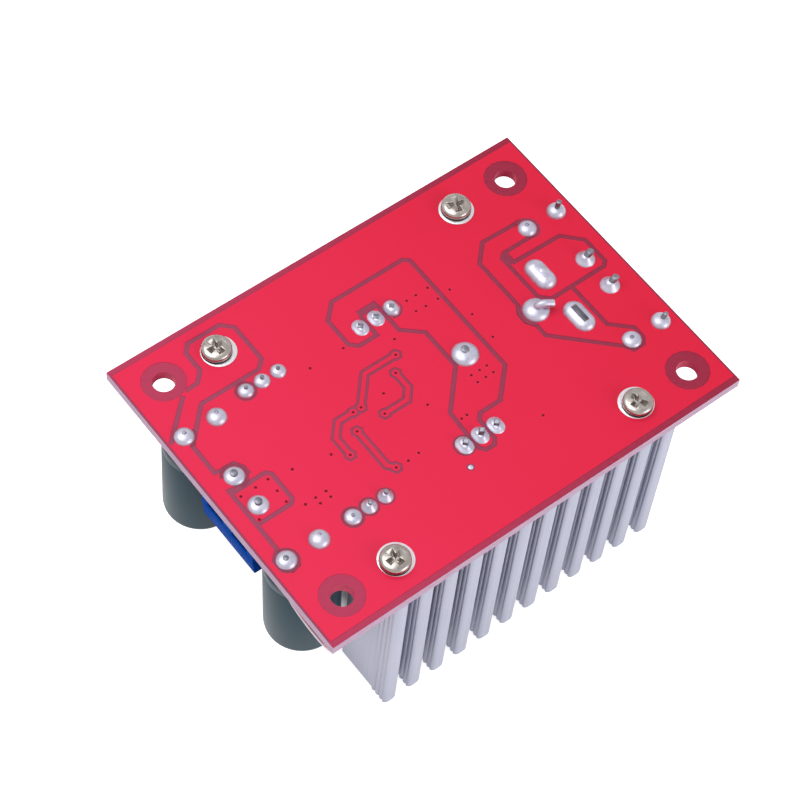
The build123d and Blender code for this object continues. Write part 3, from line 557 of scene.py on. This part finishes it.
head = turned(HEAD_RINGS, ROUND_SIDES)
for turn in (0, 90):
    arm = box(0, 0, RECESS_MIDDLE, 2 * RECESS_ARM, RECESS_WIDTH, RECESS_DEPTH)
    bpy.ops.object.mode_set(mode="EDIT")
    bpy.ops.mesh.select_all(action="SELECT")
    bpy.ops.mesh.bisect(plane_co=(0, 0, 0), plane_no=(1, 0, 0))
    bpy.ops.object.mode_set(mode="OBJECT")
    for corner in arm.data.vertices:
        if abs(corner.co.x) < RECESS_ARM * MM / 2:
            corner.co.y *= RECESS_WAIST
        if corner.co.z < RECESS_MIDDLE * MM:
            corner.co.x *= RECESS_FOOT
            corner.co.y *= RECESS_FOOT
    arm.data.transform(Matrix.Rotation(radians(turn), 4, "Z"))
    cut_with(head, arm)
ease(head, HEAD_EDGE)
smooth(head)
shank = turned(SHANK_RINGS, ROUND_SIDES)
smooth(shank)
washer_rings = []
for outer, inner, low, high in (FLAT_WASHER, SPRING_WASHER):
    washer_rings.append(ring(outer, inner, low, high, ROUND_SIDES))
    ease(washer_rings[-1], WASHER_EDGE)
    smooth(washer_rings[-1])
heads, flats, springs = [], [], []
for (x, y), (slip_x, slip_y), turn in SCREWS:
    heads.append(copy_to(head, at(x + slip_x, y + slip_y, SCREW_BASE, turn)))
    heads.append(copy_to(shank, at(x, y, SCREW_BASE)))
    flats.append(copy_to(washer_rings[0], at(x, y, 0)))
    springs.append(copy_to(washer_rings[1], at(x + slip_x, y + slip_y, 0)))
for master in (head, shank, *washer_rings):
    bpy.data.objects.remove(master)
finish_piece(joined(heads, "board_screws"), nickel_plate, "module", "plated_steel", "heatsink_screws")
finish_piece(joined(flats, "flat_washers"), bright_zinc, "module", "plated_steel", "heatsink_washers")
finish_piece(joined(springs, "spring_washers"), spring_steel, "module", "plated_steel", "heatsink_washers")


# Heatsinks: one aluminium extrusion sawn to length and used twice, left in its natural matt finish.
# Its fins have three beads down each flank and rounded tips, and round screw ports stand between them.
FIN_COUNT = 12
FIN_PITCH = 3.95
FIN_WEB = 0.85
FIN_BEADS = (6.76, 7.56, 8.36)
BEAD = ((-0.35, 0.0), (-0.26, 0.11), (0.0, 0.2), (0.26, 0.11), (0.35, 0.0))
FIN_TIP = ((0.87, 8.74), (1.0, 8.8), (1.05, 8.9), (1.01, 9.07), (0.89, 9.22), (0.71, 9.33), (0.48, 9.39),
           (0.2, 9.4))
FIN_HEIGHT = 26.4
HEATSINK_X = -0.3
BASE_THICKNESS = 3.0
HEATSINKS = (("front_heatsink", -1, -14.6), ("rear_heatsink", 1, 14.0))
PORT_X = (-19.45, 19.45)
PORT_DEPTH = 4.3
PORT_WALL = 2.35
PORT_BORE = 1.3
DEVICE_HOLE = (0.16, 9.5, 1.5)
SAWN_EDGE = 0.08
DIE_LINES = 2.6 / MM
SAW_LINES = 3.0 / MM


def drawn(outline, low, high):
    """Draw up a solid from its outline between two heights, in millimetres."""
    bpy.ops.object.select_all(action="DESELECT")
    bpy.ops.mesh.primitive_circle_add(vertices=len(outline), radius=MM, fill_type="NGON")
    piece = bpy.context.object
    for corner, (x, y) in zip(piece.data.vertices, outline):
        corner.co = (x * MM, y * MM, low * MM)
    bpy.ops.object.mode_set(mode="EDIT")
    bpy.ops.mesh.select_all(action="SELECT")
    bpy.ops.mesh.extrude_region_move(TRANSFORM_OT_translate={"value": (0, 0, (high - low) * MM)})
    bpy.ops.mesh.select_all(action="SELECT")
    bpy.ops.mesh.normals_make_consistent(inside=False)
    bpy.ops.object.mode_set(mode="OBJECT")
    return piece


# Gives the eye pale, bluish, sandblasted-looking metal with fine streaks down the extrusion
# and across its sawn ends.
die_aluminium = new_material("extruded_aluminium")
alu_place = add_node(die_aluminium, "ShaderNodeTexCoord")
alu_facing = add_node(die_aluminium, "ShaderNodeSeparateXYZ", {}, {0: alu_place.outputs["Normal"]})
alu_up = add_node(die_aluminium, "ShaderNodeMath", {"operation": "ABSOLUTE"},
                  {0: alu_facing.outputs["Z"]})
is_sawn = add_node(die_aluminium, "ShaderNodeMath", {"operation": "GREATER_THAN", 1: 0.7},
                   {0: alu_up.outputs[0]})
die_place = add_node(die_aluminium, "ShaderNodeMapping", {"Scale": (1.0, 1.0, 0.02)},
                     {"Vector": alu_place.outputs["Object"]})
die_lines = add_node(die_aluminium, "ShaderNodeTexNoise", {"Scale": DIE_LINES, "Detail": 3.0},
                     {"Vector": die_place.outputs[0]})
saw_place = add_node(die_aluminium, "ShaderNodeMapping", {"Scale": (0.15, 1.0, 1.0)},
                     {"Vector": alu_place.outputs["Object"]})
saw_lines = add_node(die_aluminium, "ShaderNodeTexNoise", {"Scale": SAW_LINES, "Detail": 3.0},
                     {"Vector": saw_place.outputs[0]})
alu_lines = add_node(die_aluminium, "ShaderNodeMix", {"data_type": "FLOAT"},
                     {0: is_sawn.outputs[0], 2: die_lines.outputs[0], 3: saw_lines.outputs[0]})
alu_tone = add_node(die_aluminium, "ShaderNodeMix",
                    {"data_type": "RGBA", 6: linear("A8AABC"), 7: linear("C6C8DA")},
                    {0: alu_lines.outputs[0]})
alu_rough = add_node(die_aluminium, "ShaderNodeMapRange", {"To Min": 0.42, "To Max": 0.58},
                     {"Value": alu_lines.outputs[0]})
alu_bump = add_node(die_aluminium, "ShaderNodeBump", {"Strength": 0.25, "Distance": RELIEF},
                    {"Height": alu_lines.outputs[0]})
alu_shader = add_node(die_aluminium, "ShaderNodeBsdfPrincipled", {"Metallic": 0.35},
                      {"Base Color": alu_tone.outputs[2], "Roughness": alu_rough.outputs[0],
                       "Normal": alu_bump.outputs[0]})
finish_material(die_aluminium, alu_shader.outputs[0])

flank = [(FIN_WEB, BASE_THICKNESS)]
for middle in FIN_BEADS:
    flank += [(FIN_WEB + swell, middle + along) for along, swell in BEAD]
flank += FIN_TIP
half_length = (FIN_COUNT - 1) * FIN_PITCH / 2
profile = [(half_length + FIN_WEB, 0.0)]
for fin in range(FIN_COUNT):
    middle = half_length - fin * FIN_PITCH
    profile += [(middle + across, out) for across, out in flank]
    profile += [(middle - across, out) for across, out in reversed(flank)]
profile.append((-half_length - FIN_WEB, 0.0))
for name, side, face_y in HEATSINKS:
    fins = drawn(profile, 0.0, FIN_HEIGHT)
    for radius, operation in ((PORT_WALL, "UNION"), (PORT_BORE, "DIFFERENCE")):
        for port_x in PORT_X:
            over = OVERCUT if operation == "DIFFERENCE" else 0.0
            port = turned(((radius, -over), (radius, FIN_HEIGHT + over)), ROUND_SIDES)
            port.data.transform(at(side * (port_x - HEATSINK_X), PORT_DEPTH, 0))
            cut_with(fins, port, operation)
    hole_x, hole_z, hole_radius = DEVICE_HOLE
    hole = turned(((hole_radius, -OVERCUT), (hole_radius, BASE_THICKNESS + OVERCUT)), ROUND_SIDES)
    hole.data.transform(at(side * (hole_x - HEATSINK_X), 0, hole_z) @ Matrix.Rotation(-pi / 2, 4, "X"))
    cut_with(fins, hole)
    ease(fins, SAWN_EDGE, 2, 60)
    smooth(fins, 42)
    fins.data.transform(at(HEATSINK_X, face_y, 0, 0 if side > 0 else 180))
    fins.name = name + "_extrusion"
    finish_piece(fins, die_aluminium, "module", "extruded_aluminium", name)


# Power devices: black moulded epoxy on a tinned copper tab, clamped to each heatsink over a grey
# silicone sheet by a screw in a white nylon bush.
MERGE = 0.0005
FLAT_ANGLE = 1.0
FRAME_TOP = 30.2
LEAD_TOP = 28.4
BLADE_TOP = 28.95
LEAD_EDGE = 0.05
CASE_EDGE = 0.15


def eased_copy(node_name, width, segments=2, angle=30, top=FRAME_TOP):
    """Copy a CAD node, weld its loose triangles, nip off what stands above a height and round its edges."""
    piece = nodes[node_name].copy()
    piece.data = nodes[node_name].data.copy()
    piece.parent = None
    for key in list(piece.keys()):
        del piece[key]
    bpy.context.scene.collection.objects.link(piece)
    select_only(piece)
    bpy.ops.object.mode_set(mode="EDIT")
    bpy.ops.mesh.select_all(action="SELECT")
    bpy.ops.mesh.remove_doubles(threshold=MERGE * MM)
    bpy.ops.mesh.dissolve_limited(angle_limit=radians(FLAT_ANGLE))
    bpy.ops.object.mode_set(mode="OBJECT")
    for corner in piece.data.vertices:
        corner.co.z = min(corner.co.z, top * MM)
    ease(piece, width, segments, angle)
    smooth(piece, angle)
    piece.name = node_name + "_eased"
    return piece


# Gives the eye the epoxy's fine, dull grain.
moulded_epoxy = mottled("moulded_epoxy", "141416", "242428", 1.8, (0.42, 0.6), 0.3)
# Gives the eye a soft, silvery, slightly clouded plating.
tin_plate = mottled("tin_plate", "84848E", "B0B0BA", 0.9, (0.28, 0.45), 0.15, 0.95)
# Gives the eye the sheet's dusty, matt grey.
silicone = mottled("silicone_sheet", "7C8086", "92969C", 1.2, (0.6, 0.8), 0.3)
# Gives the eye the bush's waxy off-white.
white_nylon = mottled("white_nylon", "E0DFD8", "F0EFEA", 0.8, (0.35, 0.5), 0.1)
for device in ("mosfet", "rectifier"):
    finish_piece(eased_copy(device + "_case", CASE_EDGE), moulded_epoxy, "module", "black_moulding",
                 device + "_case")
    finish_piece(eased_copy(device + "_leadframe", LEAD_EDGE, top=LEAD_TOP), tin_plate, "module",
                 "tinned_metal", device + "_leadframe")
    dress(silicone, device + "_insulator")
    dress(white_nylon, device + "_bush")
    dress(nickel_plate, device + "_screw")


# Inductor: a powder core under a dark epoxy coat, standing on edge, and one heavy enamelled copper wire
# wound through its eye, whose ends run down into the board.
CORE = {"x": 12.1, "y": -0.35, "z": 13.38, "outer": 11.3, "inner": 7.0, "length": 10.3, "edge": 0.8}
CORE_SIDES = 96
WIRE_RADIUS = 0.65
WIRE_BEND = 0.8
WIRE_INNER = 6.23
WIRE_OUTER = 12.07
WIRE_SIDE = 5.92
WIRE_TOP = 28.5
TURN_COUNT = 17
LEAD_OPENING = 28.0
WIRE_SIDES = 5

# Gives the eye the coat's low, lumpy sheen.
coated_core = mottled("coated_powder_core", "20262A", "2E363A", 0.7, (0.35, 0.55), 0.5)
# Gives the eye copper under clear enamel.
enamelled_copper = mottled("enamelled_copper", "9A4A22", "C8743E", 0.4, (0.14, 0.26), 0.05, 0.9)

core = ring(CORE["outer"], CORE["inner"], -CORE["length"] / 2, CORE["length"] / 2, CORE_SIDES)
ease(core, CORE["edge"], 4)
smooth(core)
core.data.transform(at(CORE["x"], CORE["y"], CORE["z"]) @ Matrix.Rotation(pi / 2, 4, "Y"))
core.name = "inductor_core_coated"
finish_piece(core, coated_core, "module", "coated_core", "inductor_core")


def on_ring(x, radius, angle):
    """A point of the winding in millimetres, its angle counted round the core from straight up."""
    turn = radians(angle)
    return (CORE["x"] + x, CORE["y"] + radius * sin(turn), CORE["z"] + radius * cos(turn))


turn_angle = (360 - LEAD_OPENING) / TURN_COUNT
wire_points = [(CORE["x"] - WIRE_SIDE, CORE["y"], WIRE_TOP),
               (CORE["x"] - WIRE_SIDE, CORE["y"], CORE["z"] + WIRE_OUTER)]
for turn in range(TURN_COUNT + 1):
    inner_angle = LEAD_OPENING / 2 + turn * turn_angle
    wire_points += [on_ring(-WIRE_SIDE, WIRE_INNER + WIRE_BEND, inner_angle),
                    on_ring(WIRE_BEND - WIRE_SIDE, WIRE_INNER, inner_angle),
                    on_ring(WIRE_SIDE - WIRE_BEND, WIRE_INNER, inner_angle),
                    on_ring(WIRE_SIDE, WIRE_INNER + WIRE_BEND, inner_angle)]
    if turn < TURN_COUNT:
        outer_angle = inner_angle + turn_angle / 2
        wire_points += [on_ring(WIRE_SIDE, WIRE_OUTER - WIRE_BEND, outer_angle),
                        on_ring(WIRE_SIDE - WIRE_BEND, WIRE_OUTER, outer_angle),
                        on_ring(WIRE_BEND - WIRE_SIDE, WIRE_OUTER, outer_angle),
                        on_ring(-WIRE_SIDE, WIRE_OUTER - WIRE_BEND, outer_angle)]
wire_points += [(CORE["x"] + WIRE_SIDE, CORE["y"], CORE["z"] + WIRE_OUTER),
                (CORE["x"] + WIRE_SIDE, CORE["y"], WIRE_TOP)]


def drawn_wire(name, points, radius, order, resolution):
    """A round wire along points in millimetres, closed at both ends."""
    path = bpy.data.curves.new(name, "CURVE")
    path.dimensions = "3D"
    path.bevel_depth = radius * MM
    path.bevel_resolution = WIRE_SIDES
    path.use_fill_caps = True
    strand = path.splines.new("NURBS")
    strand.points.add(len(points) - 1)
    for knot, (x, y, z) in zip(strand.points, points):
        knot.co = (x * MM, y * MM, z * MM, 1.0)
    strand.order_u = order
    strand.use_endpoint_u = True
    strand.resolution_u = resolution
    wire = bpy.data.objects.new(name, path)
    bpy.context.scene.collection.objects.link(wire)
    select_only(wire)
    bpy.ops.object.convert(target="MESH")
    smooth(bpy.context.object, 50)
    return bpy.context.object


winding = drawn_wire("round_winding", wire_points, WIRE_RADIUS, 3, 3)
finish_piece(winding, enamelled_copper, "module", "enamelled_copper", "inductor_winding")


# Capacitors: aluminium cans in dark teal shrink film, rolled in above the bung and folded over the
# crown, where bare scored aluminium shows. The front one at the output end leans.
CAN_RINGS = ((4.2, 0.0), (4.75, 0.12), (4.96, 0.45), (5.0, 0.8), (5.0, 1.8), (4.93, 2.1), (4.91, 2.3),
             (4.93, 2.5), (5.0, 2.8), (5.0, 15.6), (4.95, 15.95), (4.8, 16.22), (4.55, 16.4), (4.25, 16.45),
             (4.15, 16.3))
CROWN_RINGS = ((4.2, 16.2), (4.2, 16.34), (0.6, 16.36))
SCORE_WIDTH = 0.25
SCORE_DEPTH = 0.08
CAN_SIDES = 72
CAN_TOP = 26.4
CANS = ((1, -27.87, 10.45, 0.0), (2, -27.87, -11.15, 1.6), (3, 27.87, 10.45, 0.0), (4, 27.87, -11.15, 0.0))
# Gives the eye dark teal film with a low, soft shine.
shrink_film = mottled("shrink_film", "12303C", "1C4250", 0.25, (0.34, 0.44), 0.15, 0.0, 0.15)
# Gives the eye the crown's brushed, clean aluminium.
can_aluminium = mottled("can_aluminium", "B4B6BC", "D0D2D8", 0.7, (0.3, 0.45), 0.1, 0.9)

can = turned(CAN_RINGS, CAN_SIDES)
smooth(can, 50)
crown = turned(CROWN_RINGS, CAN_SIDES)
for turn in (0, 60, 120):
    score = box(0, 0, CROWN_RINGS[-1][1], 2 * CROWN_RINGS[0][0] - 2, SCORE_WIDTH, 2 * SCORE_DEPTH)
    score.data.transform(Matrix.Rotation(radians(turn), 4, "Z"))
    cut_with(crown, score)
smooth(crown)
for number, x, y, lean in CANS:
    tilt = Matrix.Rotation(pi, 4, "X") @ Matrix.Rotation(radians(lean), 4, Vector((-1, 1, 0)))
    spot = at(x, y, CAN_TOP - CAN_RINGS[3][0] * sin(radians(lean))) @ tilt
    film = copy_to(can, spot)
    film.name = f"sleeved_can_{number}"
    finish_piece(film, shrink_film, "module", "capacitor_sleeve", f"capacitor_{number}")
    bare = copy_to(crown, spot)
    bare.name = f"can_crown_{number}"
    finish_piece(bare, can_aluminium, "module", "plated_steel", f"capacitor_{number}")
bpy.data.objects.remove(can)
bpy.data.objects.remove(crown)
finish_piece(eased_copy("capacitor_leads", LEAD_EDGE, top=LEAD_TOP), tin_plate, "module", "tinned_metal",
             "capacitor_leads")


# Screw terminals: blue moulded housings, tinned contact strips, plated cages and slotted screws, each
# cage free to climb on its screw.
HOUSING_EDGE = 0.12
CLAMP_EDGE = 0.06
SLOT_ANGLE = 35

# Gives the eye saturated blue nylon with a satin face.
blue_nylon = mottled("blue_polyamide", "04419C", "0852B6", 0.9, (0.5, 0.65), 0.15, 0.0, 0.01)
for side in ("input", "output"):
    finish_piece(eased_copy(f"{side}_terminal_housing", HOUSING_EDGE), blue_nylon, "module",
                 "blue_moulding", f"{side}_terminal_housing")
    finish_piece(eased_copy(f"{side}_terminal_contacts", LEAD_EDGE, top=LEAD_TOP), tin_plate, "module",
                 "tinned_metal", f"{side}_terminal_contacts")
    for pole in (1, 2):
        finish_piece(eased_copy(f"{side}_clamp_cage_{pole}", CLAMP_EDGE), nickel_plate,
                     f"{side}_cage_{pole}", "plated_steel", f"{side}_clamp_cage_{pole}")
        finish_piece(eased_copy(f"{side}_clamp_screw_{pole}", CLAMP_EDGE, angle=SLOT_ANGLE), nickel_plate,
                     f"{side}_screw_{pole}", "plated_steel", f"{side}_clamp_screw_{pole}")


# Trimmers: sealed blue moulded cases with three tinned pins, and a slotted brass adjuster that turns in
# each.
ADJUSTER_EDGE = 0.05

# Gives the eye a lighter, flatter blue than the terminals', and warm turned brass.
trimmer_blue = mottled("trimmer_moulding", "16509C", "2464B4", 0.9, (0.35, 0.5), 0.15)
turned_brass = mottled("turned_brass", "B88E44", "DCB868", 0.9, (0.2, 0.34), 0.1, 1.0)
for row in ("front", "rear"):
    finish_piece(eased_copy(f"{row}_trimmer_case", CASE_EDGE), trimmer_blue, "module", "blue_moulding",
                 f"{row}_trimmer_case")
    finish_piece(eased_copy(f"{row}_trimmer_pins", LEAD_EDGE, top=LEAD_TOP), tin_plate, "module",
                 "tinned_metal", f"{row}_trimmer_pins")
    finish_piece(eased_copy(f"{row}_trimmer_adjuster", ADJUSTER_EDGE, angle=SLOT_ANGLE), turned_brass,
                 f"{row}_adjuster", "brass_screw", f"{row}_trimmer_adjuster")


# Fuse: a blade fuse in a moulded body, soldered in by its two blades, which show as dark bars in
# their joints; their dark is painted shade.
FUSE_EDGE = 0.3

# Gives the eye a smooth, glassy blue moulding, and dull blades painted dark as painted shade in their
# joints' slits.
fuse_moulding = mottled("fuse_moulding", "1C6CA8", "2A84C4", 0.4, (0.15, 0.25), 0.05)
finish_piece(eased_copy("fuse_body", FUSE_EDGE, 3), fuse_moulding, "module", "fuse_moulding", "fuse_body")
# Painted shade: the blades are coloured dark to stand for the shade in the slits of their joints.
blade_painted_shade = mottled("blade_painted_shade", "34303A", "8A8692", 1.4, (0.25, 0.5), 0.4, 0.8)
finish_piece(eased_copy("fuse_blades", LEAD_EDGE, top=BLADE_TOP), blade_painted_shade, "module", "tinned_metal",
             "fuse_blades")


# Surface parts: black chips on tinned legs, black chip resistors and tan ceramic capacitors, all
# soldered flat to the board's hidden side.
CHIP_EDGE = 0.08

# Gives the eye fired, faintly grainy ceramic.
fired_ceramic = mottled("fired_ceramic", "8C6C48", "A8865E", 0.9, (0.3, 0.5), 0.1)
for name in ("control_chip", "amplifier_chip", "regulator_chip", "chip_resistors", "shunt_resistors"):
    finish_piece(eased_copy(name, CHIP_EDGE), moulded_epoxy, "module", "black_moulding", name)
finish_piece(eased_copy("chip_ceramics", CHIP_EDGE), fired_ceramic, "module", "tan_ceramic",
             "chip_ceramics")
dress(tin_plate, "chip_legs")


# Solder: bright joints, wave soldered and touched up by hand. Each wets its whole pad and rises to the
# lead, whose cut end stands out of it or just shows.
# As x, y, pad radius, height, then the lead's radius, height and how far its end leans, in millimetres.
PAD_SIDES = 36
SWELL = ((1.0, 0.0), (0.99, 0.12), (0.94, 0.32), (0.84, 0.55), (0.68, 0.76), (0.48, 0.9), (0.3, 0.97),
         (0.12, 1.0))
HOLLOW = ((1.0, 0.0), (0.97, 0.1), (0.86, 0.26), (0.7, 0.46), (0.56, 0.66), (0.46, 0.86), (0.36, 1.0))
ROUND_JOINTS = (
    (-30.37, 10.45, 1.36, SWELL, 0.75, 0.3, 0.8, 0.14, 0.18),
    (-25.37, 10.45, 1.38, SWELL, 0.8, 0.28, 0.84, 0.18, 0.3),
    (-30.37, -11.15, 1.4, SWELL, 0.7, 0.4, 0.74, -0.1, 0.05),
    (-25.37, -11.15, 1.42, SWELL, 0.85, 0.26, 0.88, 0.25, 0.3),
    (-28.6, 2.19, 1.4, SWELL, 0.6, 0.52, 0.78, 0.0, 0.15),
    (-28.6, -2.89, 1.42, SWELL, 0.62, 0.5, 0.95, 0.1, 0.15),
    (25.37, 10.45, 1.32, SWELL, 0.75, 0.28, 0.8, 0.05, 0.2),
    (30.37, 10.45, 1.36, SWELL, 0.95, 0.36, 2.2, 0.18, -0.06),
    (28.6, 2.19, 1.36, HOLLOW, 0.9, 0.5, 1.5, 0.6, -0.1),
    (28.6, -2.89, 1.38, HOLLOW, 0.9, 0.48, 1.55, 0.7, -0.12),
    (30.37, -11.15, 1.36, SWELL, 0.8, 0.33, 1.5, 0.6, -0.1),
    (25.37, -11.15, 1.34, SWELL, 0.6, 0.3, 0.66, 0.0, 0.1),
    (-20.09, 11.5, 1.1, SWELL, 0.6, 0.26, 0.85, 0.1, 0.1),
    (-17.55, 11.5, 1.12, SWELL, 0.6, 0.26, 0.9, 0.1, 0.15),
    (-15.01, 11.5, 1.1, SWELL, 0.65, 0.26, 0.9, 0.0, 0.1),
    (-20.09, -11.05, 1.16, SWELL, 0.5, 0.26, 0.62, 0.0, 0.0),
    (-17.55, -11.05, 1.06, HOLLOW, 0.75, 0.3, 1.0, 0.15, 0.05),
    (-15.01, -11.05, 1.04, HOLLOW, 0.8, 0.3, 1.2, 0.1, 0.1),
    (6.18, -0.35, 1.87, SWELL, 0.85, 0.55, 1.0, 0.1, 0.3),
)
OVAL_JOINTS = (
    (-2.38, 10.75, 1.02, HOLLOW, 0.45, 0.52, 0.56, 0.0, 0.0),
    (0.16, 10.75, 1.02, HOLLOW, 0.45, 0.52, 0.56, 0.0, 0.0),
    (2.7, 10.75, 1.02, SWELL, 0.8, 0.46, 0.86, 0.0, 0.0),
    (-2.38, -11.0, 1.1, HOLLOW, 0.55, 0.5, 1.0, 0.15, 0.0),
    (0.16, -11.0, 1.06, HOLLOW, 0.55, 0.5, 1.3, 0.2, 0.0),
    (2.7, -11.0, 1.06, HOLLOW, 0.45, 0.5, 0.95, 0.1, 0.0),
)
OVAL_STRETCH = 0.26
FUSE_JOINTS = ((22.08, 3.675, 1.0), (22.08, -4.375, 0.82))
FUSE_PAD = (1.52, 1.05)
FUSE_LUMPS = ((21.9, 2.5, 1.02), (22.3, 3.7, 1.1), (21.95, 4.9, 1.04))
LUMP_RADIUS = 0.95
BENT_JOINT = (18.02, -0.35, 1.87, SWELL, 0.95)
BENT_END = ((18.02, -0.35, 28.4), (18.1, -0.4, 29.0), (18.5, -0.6, 29.35), (19.1, -0.9, 29.4),
            (20.0, -1.35, 29.15))
BENT_RADIUS = 0.55
TEST_HOLE = (-3.75, -13.95, 0.36, SWELL, 0.12)
ROUND_LEAD = 20
SQUARE_LEAD = 4
LEAD_FOOT = 0.6
CUT_EDGE = 0.06
CUT_SHARE = 0.8
SOLDER_FROST = 1.1 / MM
SOLDER_DIMPLES = 0.65 / MM

# Gives the eye clean, pale, lilac-tinged solder whose swells mirror the soft box in broad patches.
bright_solder = new_material("bright_solder")
solder_place = add_node(bright_solder, "ShaderNodeTexCoord")
frost = add_node(bright_solder, "ShaderNodeTexNoise", {"Scale": SOLDER_FROST, "Detail": 4.0},
                 {"Vector": solder_place.outputs["Object"]})
dimples = add_node(bright_solder, "ShaderNodeTexNoise", {"Scale": SOLDER_DIMPLES, "Detail": 1.5},
                   {"Vector": solder_place.outputs["Object"]})
solder_tone = add_node(bright_solder, "ShaderNodeMix",
                       {"data_type": "RGBA", 6: linear("A8A6BA"), 7: linear("DCDAEA")},
                       {0: frost.outputs[0]})
solder_rough = add_node(bright_solder, "ShaderNodeMapRange", {"To Min": 0.28, "To Max": 0.5},
                        {"Value": frost.outputs[0]})
solder_bump = add_node(bright_solder, "ShaderNodeBump", {"Strength": 0.35, "Distance": 0.1 * MM},
                       {"Height": dimples.outputs[0]})
solder_shader = add_node(bright_solder, "ShaderNodeBsdfPrincipled", {"Metallic": 0.75},
                         {"Base Color": solder_tone.outputs[2], "Roughness": solder_rough.outputs[0],
                          "Normal": solder_bump.outputs[0]})
finish_material(bright_solder, solder_shader.outputs[0])
# Gives the eye the scratched metal of a lead nipped off by cutters, painted darker as painted shade round
# the lead's stub.
shade_darkened_lead = mottled("cut_lead_end", "4A4A54", "A4A4B0", 1.5, (0.25, 0.5), 0.4, 0.9)


def joint(x, y, radius, profile, height, stretch=0.0):
    """One joint on a pad, drawn apart along Y where the pad is long."""
    swell = turned([(radius * part, height * rise) for part, rise in profile], PAD_SIDES)
    for corner in swell.data.vertices:
        if abs(corner.co.y) > MERGE * MM:
            corner.co.y += stretch * MM if corner.co.y > 0 else -stretch * MM
    swell.data.transform(Matrix.Translation((x * MM, y * MM, BOARD_FACE)))
    smooth(swell, 60)
    return swell


def lead_end(x, y, height, radius, top, lean_x, lean_y, sides):
    """A lead's end from within its joint to its cut top, leaning over."""
    low = height * LEAD_FOOT
    stub = turned(((radius, low), (radius, top - CUT_EDGE), (radius * CUT_SHARE, top)), sides)
    for corner in stub.data.vertices:
        share = (corner.co.z / MM - low) / (top - low)
        corner.co.x += lean_x * share * MM
        corner.co.y += lean_y * share * MM
    stub.data.transform(Matrix.Translation((x * MM, y * MM, BOARD_FACE)))
    smooth(stub)
    return stub


joints, ends = [], []
for x, y, radius, profile, height, lead, top, lean_x, lean_y in ROUND_JOINTS:
    joints.append(joint(x, y, radius, profile, height))
    ends.append(lead_end(x, y, height, lead, top, lean_x, lean_y, ROUND_LEAD))
for x, y, radius, profile, height, lead, top, lean_x, lean_y in OVAL_JOINTS:
    joints.append(joint(x, y, radius, profile, height, OVAL_STRETCH))
    ends.append(lead_end(x, y, height, lead, top, lean_x, lean_y, SQUARE_LEAD))
for x, y, height in FUSE_JOINTS:
    joints.append(joint(x, y, FUSE_PAD[0], SWELL, height, FUSE_PAD[1]))
for x, y, height in FUSE_LUMPS:
    joints.append(joint(x, y, LUMP_RADIUS, SWELL, height))
joints.append(joint(*BENT_JOINT))
joints.append(drawn_wire("bent_end", BENT_END, BENT_RADIUS, 3, 6))
joints.append(joint(*TEST_HOLE))
finish_piece(joined(joints, "solder"), bright_solder, "module", "solder", "solder_joints")
# The lead ends' dark colour is painted shade round the stubs.
finish_piece(joined(ends, "cut_lead_ends"), shade_darkened_lead, "module", "tinned_metal")


# Glue: a thin string of white glue left under the edge by the front capacitor at the output end, where
# it was drawn out as the part was stuck down.
GLUE_STRING = ((-31.9, -12.4, 26.2), (-32.6, -14.2, 25.9), (-32.75, -17.0, 25.5), (-32.76, -20.0, 25.1),
               (-32.76, -22.4, 25.3), (-32.7, -23.8, 26.2))
GLUE_RADIUS = 0.14

# Gives the eye soft, milky, half-clear glue.
white_glue = mottled("white_glue", "D8DAE4", "F0F0F6", 0.7, (0.25, 0.4), 0.1)
finish_piece(drawn_wire("glue_string", GLUE_STRING, GLUE_RADIUS, 4, 6), white_glue, "module", "white_nylon")
